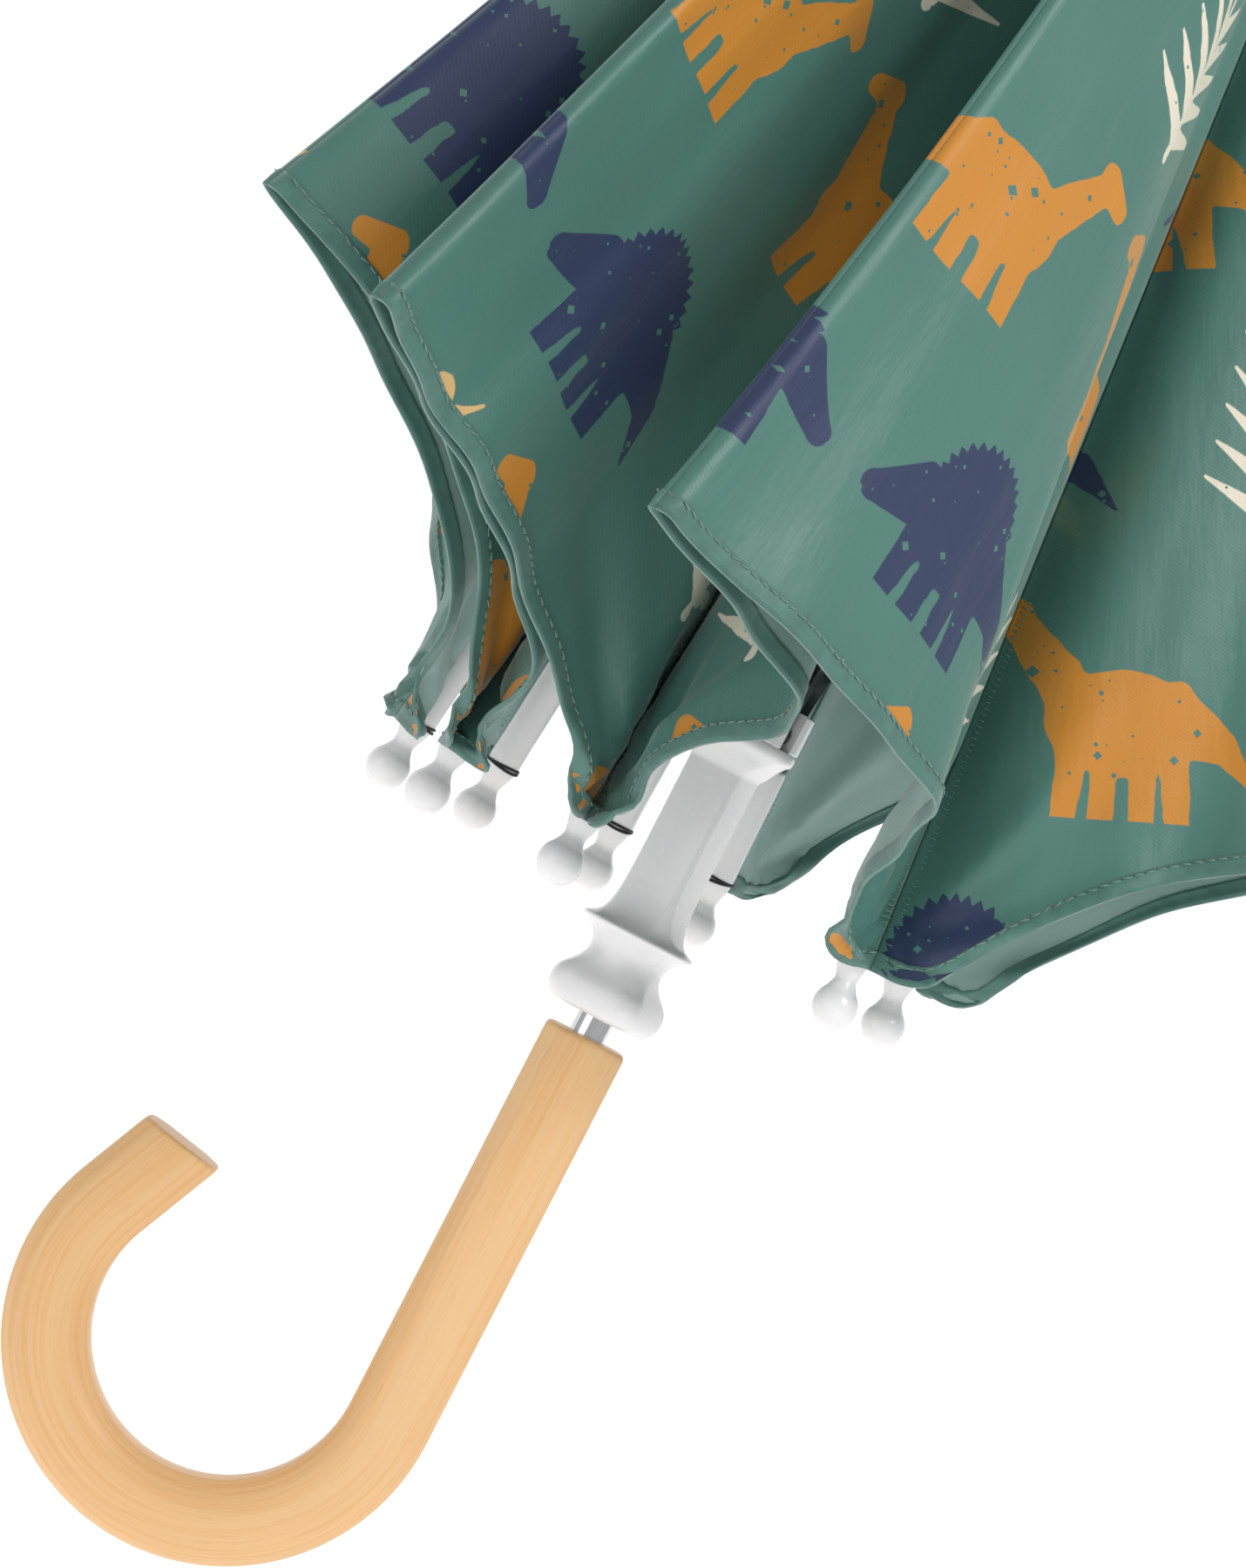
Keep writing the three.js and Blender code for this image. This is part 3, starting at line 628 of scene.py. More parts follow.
def varnished_wood():
    """Pale wood whose grain follows the bend, under a thin satin varnish."""
    c = bpy.context.scene.umbrella_colours
    f = Finish("varnished_wood")
    where = f.add("ShaderNodeAttribute", {"attribute_name": "unbent"}, [], output=1)
    streaks = f.noise(where, 1.0, 4.0, 0.62, (900.0, 700.0, 16.0))
    broad = f.noise(where, 1.0, 2.0, 0.5, (120.0, 90.0, 6.0))
    fine = f.noise(where, 1.0, 3.0, 0.7, (2600.0, 2600.0, 60.0))
    light, dark = tuple(c.wood), tuple(x * y for x, y in zip(c.wood, (0.95, 0.86, 0.73)))
    pale = tuple(min(1.0, x * y) for x, y in zip(c.wood, (1.02, 1.08, 1.2)))
    colour = f.mix(f.ramp(streaks, 0.38, 0.72), light, dark)
    colour = f.mix(f.ramp(broad, 0.45, 0.7) * 0.7, colour, pale)
    colour = f.mix(f.ramp(fine, 0.58, 0.74) * 0.45, colour, tuple(x * 0.72 for x in dark))
    grain = streaks * 0.6 + fine * 0.4
    return f.shade(Base_Color=colour, Roughness=f.ramp(streaks, 0.3, 0.7, 0.42, 0.55), Coat_Weight=0.22,
                   Coat_Roughness=0.3, Normal=f.bump(grain, 0.12, 0.0006))


def polished_steel():
    f = Finish("polished_steel")
    place = f.coordinates("Object")
    drawn = f.noise(place, 1.0, 3.0, 0.6, (900.0, 900.0, 9.0))
    colour = f.mix(f.ramp(drawn, 0.3, 0.7), (0.78, 0.79, 0.81), (0.68, 0.69, 0.71))
    return f.shade(Base_Color=colour, Metallic=1.0, Roughness=f.ramp(drawn, 0.3, 0.7, 0.12, 0.22),
                   Normal=f.bump(drawn, 0.05, 0.0003))


def dark_steel():
    f = Finish("dark_steel")
    place = f.coordinates("Object")
    drawn = f.noise(place, 1.0, 3.0, 0.6, (1200.0, 1200.0, 40.0))
    spots = f.noise(place, 260.0, 2.0)
    colour = f.mix(f.ramp(spots, 0.4, 0.7), (0.045, 0.05, 0.055), (0.1, 0.105, 0.11))
    return f.shade(Base_Color=colour, Metallic=0.9, Roughness=f.ramp(drawn, 0.3, 0.7, 0.3, 0.45),
                   Normal=f.bump(drawn, 0.08, 0.0003))


def stage_white():
    f = Finish("stage_white")
    place = f.coordinates("Object")
    tint = f.noise(place, 3.0, 2.0)
    f.shade(Base_Color=f.mix(tint, (0.93, 0.93, 0.93), (0.95, 0.95, 0.95)), Roughness=0.9,
            Emission_Color=(1, 1, 1, 1), Emission_Strength=PAPER_GLOW)
    # the paper's back lets everything through, so that the umbrella is seen from behind too
    kinds = ("NewGeometry", "BsdfTransparent", "MixShader")
    side, clear, both = (f.tree.nodes.new("ShaderNode" + kind) for kind in kinds)
    out = next(n for n in f.tree.nodes if n.type == "OUTPUT_MATERIAL")
    for start, end in ((side.outputs["Backfacing"], both.inputs[0]), (f.bsdf.outputs[0], both.inputs[1]),
                       (clear.outputs[0], both.inputs[2]), (both.outputs[0], out.inputs[0])):
        f.tree.links.new(start, end)
    return f.material


MAKERS = {
    "cloth_outside": cloth_outside, "cloth_inside": cloth_inside, "hem_cloth": hem_cloth,
    "hem_thread": thread("hem_thread", rgb(112, 150, 138)), "seam_thread": thread("seam_thread", rgb(104, 146, 134)),
    "black_thread": thread("black_thread", (0.008, 0.008, 0.01)), "white_plastic": moulded_white,
    "varnished_wood": varnished_wood, "polished_steel": polished_steel, "dark_steel": dark_steel,
    "stage_white": stage_white,
}


# ---------------------------------------------------------------- sizes and colours that a user would change

def length(name, description, default):
    return bpy.props.FloatProperty(name=name, description=description, default=default, subtype="DISTANCE",
                                   unit="LENGTH")


def colour(name, description, default):
    return bpy.props.FloatVectorProperty(name=name, description=description, default=default, subtype="COLOR", size=3,
                                         min=0, max=1)


class UmbrellaSizes(bpy.types.PropertyGroup):
    cloth_thickness: length("Cloth thickness", "How thick the canopy's cloth is", 0.00035)
    hem_width: length("Hem width", "How far the hem is turned over", 0.0042)
    stitch_length: length("Stitch length", "The length of one hem stitch", 0.0019)
    stitch_pitch: length("Stitch pitch", "How far apart the hem stitches are", 0.0026)
    thread_radius: length("Thread radius", "Half the sewing thread's thickness", 0.00019)
    tie_radius: length("Tie radius", "Half the thickness of the thread that ties the cloth to a tip", 0.00035)
    handle_width: length("Handle width", "The width of the handle's square section", 0.0197)
    handle_edge: length("Handle edge radius", "How round the handle's long edges are", 0.0052)
    floor_gap: length("Floor gap", "How far the floor lies below the handle", 0.25)


class UmbrellaColours(bpy.types.PropertyGroup):
    cloth: colour("Cloth", "The cloth's ground colour", rgb(76, 123, 113))
    lining: colour("Cloth inside", "The unprinted side of the cloth", rgb(140, 172, 164))
    first_print: colour("First print", "The long-necked animal's ink", rgb(203, 134, 42))
    second_print: colour("Second print", "The crested animal's ink", rgb(38, 52, 88))
    third_print: colour("Third print", "The horned animal's ink", rgb(216, 178, 120))
    fourth_print: colour("Fourth print", "The leaves' ink", rgb(228, 220, 200))
    plastic: colour("Plastic", "The tips', runner's and crown's plastic", rgb(241, 241, 241))
    wood: colour("Wood", "The handle's wood", rgb(236, 190, 134))


# ---------------------------------------------------------------- pieces

def path_of_handle(step=2.0):
    """Points down the handle's middle with the direction out of the bend at each, and the length so far."""
    out = [(np.array([0, 0, HANDLE_TOP - d]), np.array([1.0, 0, 0]), d)
           for d in np.arange(0, HANDLE_TOP - CROOK_Z, step)]
    straight = HANDLE_TOP - CROOK_Z
    centre = np.array([-CROOK_R, 0, CROOK_Z])
    steps = 96
    for i in range(steps + 1):
        t = CROOK_SWEEP * i / steps
        o = np.array([math.cos(t), 0, -math.sin(t)])
        out.append((centre + o * CROOK_R, o, straight + t * CROOK_R))
    ahead = np.array([-math.sin(CROOK_SWEEP), 0, -math.cos(CROOK_SWEEP)])
    for d in np.linspace(0, CROOK_END, 6)[1:]:
        out.append((centre + o * CROOK_R + ahead * d, o, straight + CROOK_SWEEP * CROOK_R + d))
    return out


class UMBRELLA_OT_handle(bpy.types.Operator):
    """Bends the square wooden bar into the crook and bores its socket"""
    bl_idname = "umbrella.handle"
    bl_label = "Handle"

    def execute(self, context):
        s = context.scene.umbrella_sizes
        half, edge = s.handle_width / MM / 2, s.handle_edge / MM
        path = path_of_handle()
        total = path[-1][2]
        ease = 1.3
        rings, unbent = [], []

        def ring(centre, out, along, shrink, sawn=0.0):
            outline = rounded(half - shrink, half - shrink, max(edge - shrink, 0.5), 8, 0.7)
            rings.append([(centre + (out - ahead * sawn) * a + np.array([0, -1.0, 0]) * b) * MM for a, b in outline])
            unbent.extend([(a * MM, b * MM, (along - sawn * a) * MM) for a, b in outline])

        ahead = np.array([-math.sin(CROOK_SWEEP), 0, -math.cos(CROOK_SWEEP)])
        ends = [(0.0, 1.3), (0.12, 0.75), (0.42, 0.3), (0.85, 0.06), (ease, 0.0)]
        first, last = path[0], path[-1]
        for d, shrink in ends:
            ring(first[0] - UP * d, first[1], d, shrink)
        for centre, out, along in path:
            if ease < along < total - 6:
                ring(centre, out, along, 0.0)
        # the saw cut is not quite square to the bar, so the inner edge is the longer one
        for d, shrink in reversed(ends):
            ring(last[0] - ahead * d, last[1], total - d, shrink, math.tan(CROOK_CUT))
        points, faces = lofted(rings)
        # the socket that takes the shaft: the top face is a ring, with a round wall below it
        n = len(rings[0])
        faces.pop(-2)
        turns = [math.atan2(p[1], p[0]) for p in rings[0]]
        hole = [[np.array([4.7 * math.cos(t), 4.7 * math.sin(t), z]) * MM for t in turns] for z in (HANDLE_TOP, 12.0)]
        base = len(points)
        points += hole[0] + hole[1]
        unbent += [(p[0], p[1], 0.0) for p in hole[0]] + [(p[0], p[1], 0.033) for p in hole[1]]
        for i in range(n):
            j = (i + 1) % n
            faces.append((j, i, base + i, base + j))
            faces.append((base + j, base + i, base + n + i, base + n + j))
        faces.append(tuple(base + n + i for i in range(n)))
        o = new_piece("handle_wood", points, faces, finish("varnished_wood"), sharp=50)
        at = o.data.attributes.new("unbent", "FLOAT_VECTOR", "POINT")
        at.data.foreach_set("vector", np.array(unbent, np.float32).ravel())
        bm = bmesh.new()
        bm.from_mesh(o.data)
        bmesh.ops.recalc_face_normals(bm, faces=bm.faces)
        bm.to_mesh(o.data)
        bm.free()
        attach(o, "shaft")
        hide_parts("handle")
        return {"FINISHED"}


def turned(name, profile, n=48, material=None, axis=None, bore=0.0, sharp=55):
    """A closed shape turned about the shaft, or about (origin, axis): profile is (radius, height) upwards in mm."""
    origin, along = axis or (np.zeros(3), UP)
    u = unit(np.cross(along, [0.3, 1.0, 0.2]))
    w = np.cross(along, u)
    rings = [[(origin + along * h + (u * math.cos(t) + w * math.sin(t)) * r) * MM
              for t in np.linspace(0, 2 * math.pi, n, endpoint=False)] for r, h in profile]
    if bore:
        low, high = profile[0][1], profile[-1][1]
        rings = rings + [[(origin + along * h + (u * math.cos(t) + w * math.sin(t)) * bore) * MM
                          for t in np.linspace(0, 2 * math.pi, n, endpoint=False)] for h in (high, low)]
        points, faces = lofted(rings, False)
        faces += closing(rings)
    else:
        points, faces = lofted(rings)
    o = outward(new_piece(name, points, faces, material or finish("white_plastic"), sharp=sharp))
    if sharp:
        o.data.set_sharp_from_angle(angle=math.radians(sharp))
    return o


def sector(r0, r1, z0, z1, start, stop, round_by=0.35, n=7):
    """A tooth: a piece of a ring between two angles, as (points, faces), with its outer edges eased."""
    outline = []
    for k in range(n):
        t = start + (stop - start) * k / (n - 1)
        outline.append((r1, t))
    for k in range(n):
        t = stop + (start - stop) * k / (n - 1)
        outline.append((r0, t))
    rings = []
    for z, shrink in ((z0, round_by), (z0 + round_by, 0.0), (z1 - round_by, 0.0), (z1, round_by)):
        ring = []
        for r, t in outline:
            rr = r - shrink if r == r1 else r
            ring.append(np.array([rr * math.cos(t), rr * math.sin(t), z]) * MM)
        rings.append(ring)
    return lofted(rings)


def toothed(name, r_hub, r0, r1, z0, z1, gap, bore, material, floor=None):
    """A hub with a tooth between each two of the eight slots."""
    points, faces = [], []

    def take(p, f):
        k = len(points)
        points.extend(p)
        faces.extend([tuple(i + k for i in face) for face in f])

    slots = sorted(math.radians(-a) % (2 * math.pi) for a, _, _ in RIBS)
    for i, a in enumerate(slots):
        b = slots[(i + 1) % 8] + (2 * math.pi if i == 7 else 0)
        narrow = (gap / 2) / ((r0 + r1) / 2)
        take(*sector(r0 - 0.4, r1, z0, z1, a + narrow, b - narrow))
    o = outward(new_piece(name, points, faces, material, sharp=40))
    o.data.set_sharp_from_angle(angle=math.radians(40))
    hub = turned(name + "_hub", [(r_hub, floor or z0 + 0.2), (r_hub, z1 - 0.2)], 48, material, bore=bore)
    return o, hub


class UMBRELLA_OT_runner(bpy.types.Operator):
    """Moulds the runner: square collar, waist, thin flange, square body and slotted ring"""
    bl_idname = "umbrella.runner"
    bl_label = "Runner"

    def execute(self, context):
        white = finish("white_plastic")
        # half-width, corner radius, height; the square parts are turned a little about the shaft
        stations = [
            (8.6, 5.2, 50.0), (9.6, 5.4, 50.12), (10.4, 5.4, 50.6), (11.0, 5.2, 51.6), (11.4, 4.9, 52.9),
            (11.5, 4.6, 54.4), (11.4, 4.6, 56.0), (11.0, 4.8, 57.4), (10.3, 5.2, 58.6), (9.6, 5.8, 59.7),
            (9.0, 6.6, 61.0), (8.65, 7.6, 62.6), (8.6, 8.2, 64.0), (8.9, 8.8, 65.4), (9.6, 9.5, 66.8),
            (10.7, 10.6, 68.1), (12.0, 11.9, 69.0), (13.0, 12.9, 69.45), (13.3, 13.2, 69.95), (13.1, 13.0, 70.4),
            (12.0, 11.7, 70.85), (10.5, 9.2, 71.5), (9.2, 6.6, 72.5), (8.2, 4.4, 74.0), (7.45, 2.9, 76.2),
            (6.95, 1.9, 79.5), (6.7, 1.4, 84.0), (6.6, 1.2, 90.0), (6.6, 1.2, 111.0), (6.65, 1.25, 111.6),
            (7.0, 1.5, 112.4), (8.0, 2.6, 113.6), (9.6, 6.0, 115.6), (12.0, 11.5, 117.6), (12.9, 12.8, 118.1),
            (13.2, 13.1, 119.0), (13.2, 13.1, 120.6), (12.9, 12.8, 120.9),
        ]
        skew = math.radians(-RUNNER_TURN)
        c, s = math.cos(skew), math.sin(skew)
        rings = [[((x * c - y * s) * MM, (x * s + y * c) * MM, z * MM) for x, y in rounded(a, a, r, 14)]
                 for a, r, z in stations]
        turns = [math.atan2(y, x) for x, y, z in rings[0]]
        rings += [[(5.0 * MM * math.cos(t), 5.0 * MM * math.sin(t), z * MM) for t in turns] for z in (120.9, 50.0)]
        points, faces = lofted(rings, False)
        faces += closing(rings)
        body = outward(new_piece("runner_body", points, faces, white, sharp=60))
        body.data.set_sharp_from_angle(angle=math.radians(60))
        teeth, hub = toothed("runner_teeth", 7.2, 7.0, 13.2, 120.8, 130.0, 2.8, 5.0, white)
        for o in (body, teeth, hub):
            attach(o, "runner")
        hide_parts("runner")
        return {"FINISHED"}


class UMBRELLA_OT_crown(bpy.types.Operator):
    """Makes the crown's teeth, the cap and the ferrule"""
    bl_idname = "umbrella.crown"
    bl_label = "Crown, cap and ferrule"

    def execute(self, context):
        white = finish("white_plastic")
        teeth, hub = toothed("crown_teeth", 5.8, 5.6, 12.0, 508.0, 518.6, 2.8, 4.55, white)
        cap = turned("cap", [(9.2, 522.8), (9.5, 523.1), (9.5, 524.6), (9.2, 525.3), (8.4, 526.6), (7.2, 528.6),
                             (6.3, 530.6), (5.8, 531.7), (5.5, 532.0)], bore=4.55)
        ferrule = turned("ferrule_tip", [(5.2, 532.4), (5.6, 532.7), (5.5, 534.2), (5.1, 536.4), (4.6, 540.0),
                                         (4.1, 545.0), (3.7, 551.0), (3.45, 557.0), (3.3, 559.6), (2.9, 560.6),
                                         (2.2, 561.0)])
        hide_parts("crown")
        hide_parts("top_cap")
        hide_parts("ferrule")
        for o in (teeth, hub, cap, ferrule):
            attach(o, "shaft")
        profile = [(18.9, 519.5), (19.0, 519.7), (18.9, 519.95), (14.0, 521.0), (9.5, 521.9), (6.2, 522.2)]
        lower = [(6.2, 521.8), (9.5, 521.5), (14.0, 520.6)]
        rosette = self.disc("rosette_cloth", profile, lower)
        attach(rosette, "shaft")
        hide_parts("rosette")
        return {"FINISHED"}

    @staticmethod
    def disc(name, upper, lower, n=64):
        rings = []
        for r, z in upper + lower:
            ring = []
            for i in range(n):
                t = 2 * math.pi * i / n
                pinked = 0.35 * (1 if i % 2 else -1) if r > 18 else 0
                wave = 0.18 * math.sin(8 * t) * (r / 19) ** 2
                ring.append(((r + pinked) * MM * math.cos(t), (r + pinked) * MM * math.sin(t), (z + wave) * MM))
            rings.append(ring)
        points, faces = lofted(rings, False)
        faces += closing(rings)
        return outward(new_piece(name, points, faces, finish("hem_cloth")))


REPLACED = ("handle", "runner", "crown", "rosette", "top_cap", "ferrule", "closing_strap", "snap_button")


class UMBRELLA_OT_frame_finish(bpy.types.Operator):
    """Gives the shaft, wires, catches, ribs and stretchers their steel"""
    bl_idname = "umbrella.frame_finish"
    bl_label = "Steel frame"

    def execute(self, context):
        for name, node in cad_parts.items():
            steel = "dark_steel" if name.startswith(("rib_", "stretcher_")) else "polished_steel"
            if name.startswith(("gore_", "tip_")) or name in REPLACED:
                continue
            node.data.materials.clear()
            node.data.materials.append(finish(steel))
        return {"FINISHED"}


class UMBRELLA_OT_tips(bpy.types.Operator):
    """Makes the eight ball tips with their sleeves, and the thread that ties the cloth to each"""
    bl_idname = "umbrella.tips"
    bl_label = "Tips and ties"

    def execute(self, context):
        start = RIB_LENGTH - BALL_R - SLEEVE_LENGTH
        sleeve = [(0.2, 0.0), (3.2, 0.05), (3.6, 0.4), (3.75, 1.0), (3.75, 23.6), (3.85, 25.6), (3.9, 27.4),
                  (3.85, 28.8), (3.7, 30.0), (3.45, 31.2), (3.1, 32.3), (2.7, 33.4), (2.5, 34.2), (2.45, 34.9),
                  (2.6, 35.6), (2.95, 36.3)]
        ball = [(BALL_R * math.sin(t), SLEEVE_LENGTH + BALL_R - BALL_R * math.cos(t))
                for t in np.linspace(math.radians(44), math.radians(178), 20)]
        for k, rib in enumerate(ribs):
            origin = rib.hinge + rib.closed * start
            o = turned(f"tip_ball_{k + 1}", sleeve + ball, 32, axis=(origin, rib.closed), sharp=70)
            subdivided(o, 1)
            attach(o, f"rib_{k + 1}")
            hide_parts(f"tip_{k + 1}")
            tie = self.tie(context, k, rib, origin)
            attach(tie, f"rib_{k + 1}")
        return {"FINISHED"}

    def tie(self, context, k, rib, origin):
        """Two turns of thread round the sleeve."""
        r, wire = 4.0, context.scene.umbrella_sizes.tie_radius
        spine = []
        for i in range(57):
            t = i / 56
            a = 2 * math.pi * 2 * t
            spine.append(origin + rib.closed * (28.6 + 0.9 * t + 0.25 * math.sin(a * 1.5)) +
                         (rib.normal * math.cos(a) + rib.side * math.sin(a)) * (r + 0.06 * math.sin(a * 3)))
        spine = [p * MM for p in spine]
        rings = []
        for i, p in enumerate(spine):
            ahead = unit(spine[min(i + 1, len(spine) - 1)] - spine[max(i - 1, 0)])
            u = unit(np.cross(ahead, rib.closed))
            w = np.cross(ahead, u)
            around = np.linspace(0, 2 * math.pi, 8, endpoint=False)
            rings.append([p + (u * math.cos(a) + w * math.sin(a)) * wire for a in around])
        return outward(new_piece(f"tie_{k + 1}", *lofted(rings), finish("black_thread")))


def spaced(count, edge):
    """Steps from 0 to 1 with one extra close to each end, so that an edge shades crisply."""
    inner = list(np.linspace(0, 1, count + 1))
    return [0.0, edge] + inner[1:-1] + [1 - edge, 1.0]


class UMBRELLA_OT_canopy(bpy.types.Operator):
    """Drapes the sixteen half gores between their ribs and folds, and turns their hems over"""
    bl_idname = "umbrella.canopy"
    bl_label = "Canopy"

    def execute(self, context):
        s = context.scene.umbrella_sizes
        for h in halves:
            cloth = self.panel(h, s)
            hem = self.hem(h, s)
            for o in (cloth, hem):
                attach(o, h.body)
                h.flatten(o)
            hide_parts(h.body)
            area = h.angle / 2 * (self.mean_reach(h) ** 2 - 12.0**2) * MM * MM
            flat = (2 * REACH_AT_RIB * math.sin(h.angle / 2) * MM, REACH_AT_RIB * MM)
            float(min(area, flat[0] * flat[1]))
            f"rib_{self.rib_number(h)}"
        return {"FINISHED"}

    @staticmethod
    def rib_number(h):
        return h.number + 1 if h.letter == "a" else (h.number + 1) % 8 + 1

    @staticmethod
    def mean_reach(h):
        return math.sqrt(np.mean([h.reach(x) ** 2 for x in np.linspace(0, 1, 41)]))

    def panel(self, h, s):
        across, along = spaced(46, 0.006), spaced(118, 0.0016)
        points, uv = [], []
        for v in along:
            for u in across:
                p, reach = h.point(u, v)
                points.append(p)
                uv.append(self.print_place(h, u, reach))
        o = self.grid(f"cloth_{h.name}", points, uv, len(across), len(along), h,
                      [finish("cloth_outside"), finish("cloth_inside")])
        m = o.modifiers.new("thickness", "SOLIDIFY")
        m.thickness, m.offset, m.material_offset, m.material_offset_rim = s.cloth_thickness, -1.0, 1, 0
        m.use_quality_normals = True
        return o

    def hem(self, h, s):
        """A strip over the hem's edge on both sides, a little thicker than the cloth."""
        across, rows = spaced(90, 0.004), 5
        width = s.hem_width / MM
        points, uv = [], []
        for j in range(rows + 1):
            for u in across:
                back = width * (1 - j / rows)
                edge = h.reach(u)
                v = (edge - back - 12.0) / (edge - 12.0)
                swell = 0.16 + 0.2 * math.sin(math.pi * min(1, 0.15 + j / rows))
                pucker = 0.09 * math.sin(u * edge * h.angle / 0.62)
                off = swell + pucker * (1 if j in (0, 1) else 0.3)
                p, reach = h.point(u, v, off=off, past=0.25 if j == rows else 0)
                points.append(p)
                uv.append(self.print_place(h, u, reach))
        o = self.grid(f"hem_{h.name}", points, uv, len(across), rows + 1, h, [finish("hem_cloth")])
        m = o.modifiers.new("thickness", "SOLIDIFY")
        m.thickness, m.offset = s.cloth_thickness * 2.6, -1.0
        return o

    @staticmethod
    def print_place(h, u, reach):
        """Where a point falls on the printed cloth, each gore being cut from another place."""
        x, y = h.flat(u, reach)
        shift = PRINT_SHIFTS[h.number]
        return x + shift[0], y + shift[1]

    @staticmethod
    def grid(name, points, uv, columns, rows, h, materials):
        starts = [j * columns + i for j in range(rows - 1) for i in range(columns - 1)]
        faces = [(a, a + 1, a + 1 + columns, a + columns) for a in starts]
        o = new_piece(name, points, faces, materials)
        me = o.data
        # the outside of the cloth faces away from its gore
        middle = me.polygons[len(me.polygons) // 2].normal
        if middle.dot(Vector(h.normal * h.outside)) < 0:
            me.flip_normals()
        layer = me.uv_layers.new(name="flat_cut")
        for loop in me.loops:
            layer.data[loop.index].uv = uv[loop.vertex_index]
        return o


def stitch_tree():
    """Geometry Nodes: short threads laid along a path, each pointing the way that the path's stitch_way says."""
    tree = bpy.data.node_groups.new("thread_row", "GeometryNodeTree")
    face = tree.interface
    face.new_socket("Path", in_out="INPUT", socket_type="NodeSocketGeometry")
    ids = {}
    for label, kind, value in (("Pitch", "NodeSocketFloat", 0.0026), ("Stitch length", "NodeSocketFloat", 0.0019),
                               ("Thread radius", "NodeSocketFloat", 0.0002), ("Thread", "NodeSocketMaterial", None)):
        item = face.new_socket(label, in_out="INPUT", socket_type=kind)
        if value is not None:
            item.default_value = value
        ids[label] = item.identifier
    face.new_socket("Threads", in_out="OUTPUT", socket_type="NodeSocketGeometry")
    n, link = tree.nodes, tree.links.new
    given, out = n.new("NodeGroupInput"), n.new("NodeGroupOutput")
    curve = n.new("GeometryNodeMeshToCurve")
    points = n.new("GeometryNodeCurveToPoints")
    points.mode = "LENGTH"
    rod = n.new("GeometryNodeMeshCylinder")
    rod.inputs["Vertices"].default_value = 6
    way = n.new("GeometryNodeInputNamedAttribute")
    way.data_type = "FLOAT_VECTOR"
    way.inputs["Name"].default_value = "stitch_way"
    facing = n.new("FunctionNodeAlignRotationToVector")
    facing.axis = "Z"
    place = n.new("GeometryNodeInstanceOnPoints")
    real = n.new("GeometryNodeRealizeInstances")
    smooth = n.new("GeometryNodeSetShadeSmooth")
    paint = n.new("GeometryNodeSetMaterial")
    for start, output, end, entry in (
            (given, "Path", curve, "Mesh"), (curve, "Curve", points, "Curve"), (given, "Pitch", points, "Length"),
            (given, "Stitch length", rod, "Depth"), (given, "Thread radius", rod, "Radius"),
            (way, "Attribute", facing, "Vector"), (points, "Points", place, "Points"), (rod, "Mesh", place, "Instance"),
            (facing, "Rotation", place, "Rotation"), (place, "Instances", real, "Geometry"),
            (real, "Geometry", smooth, "Geometry"), (smooth, "Geometry", paint, "Geometry"),
            (given, "Thread", paint, "Material"), (paint, "Geometry", out, "Threads")):
        link(start.outputs[output], end.inputs[entry])
    return tree, ids


def thread_row(name, path, ways, pitch, stitch, radius, material):
    """A row of stitches along a path of points in metres."""
    if "stitch_tree" not in made:
        made["stitch_tree"] = stitch_tree()
    tree, ids = made["stitch_tree"]
    me = bpy.data.meshes.new(name)
    me.from_pydata([tuple(map(float, p)) for p in path], [(i, i + 1) for i in range(len(path) - 1)], [])
    at = me.attributes.new("stitch_way", "FLOAT_VECTOR", "POINT")
    at.data.foreach_set("vector", np.array(ways, np.float32).ravel())
    o = bpy.data.objects.new(name, me)
    bpy.context.scene.collection.objects.link(o)
    m = o.modifiers.new("threads", "NODES")
    m.node_group = tree
    m[ids["Pitch"]], m[ids["Stitch length"]], m[ids["Thread radius"]] = pitch, stitch, radius
    m[ids["Thread"]] = material
    return plain_mesh(o, name)


class UMBRELLA_OT_stitches(bpy.types.Operator):
    """Sews the hems and the seams over the ribs"""
    bl_idname = "umbrella.stitches"
    bl_label = "Stitches"

    def execute(self, context):
        s = context.scene.umbrella_sizes
        for h in halves:
            path = []
            for u in np.linspace(0.015, 0.985, 120):
                edge = h.reach(u)
                v = (edge - s.hem_width / MM * 0.86 - 12.0) / (edge - 12.0)
                path.append(h.point(u, v, off=0.5)[0])
            ways = self.tangents(path)
            tilt = [w + np.cross(w, h.normal) * (0.32 if i % 2 else -0.32) for i, w in enumerate(ways)]
            row = thread_row(f"hem_stitches_{h.name}", path, tilt, s.stitch_pitch, s.stitch_length, s.thread_radius,
                             finish("hem_thread"))
            # the seam's allowance is caught down beside the rib, with a ladder of threads near the tip
            beside, across = [], []
            for v in np.linspace(0.80, 0.985, 60):
                edge = h.reach(0)
                reach = 12 + (edge - 12) * v
                u = 1.9 / (reach * h.angle)
                p = h.point(u, v, off=0.16)[0]
                q = h.point(u * 1.6, v, off=0.16)[0]
                beside.append(p)
                across.append(unit(q - p))
            ladder = thread_row(f"seam_ladder_{h.name}", beside, across, 0.00135, 0.0021, s.thread_radius * 0.7,
                                finish("seam_thread"))
            for o in (row, ladder):
                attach(o, h.body)
                h.flatten(o)
        return {"FINISHED"}

    @staticmethod
    def tangents(path):
        return [unit(path[min(i + 1, len(path) - 1)] - path[max(i - 1, 0)]) for i in range(len(path))]


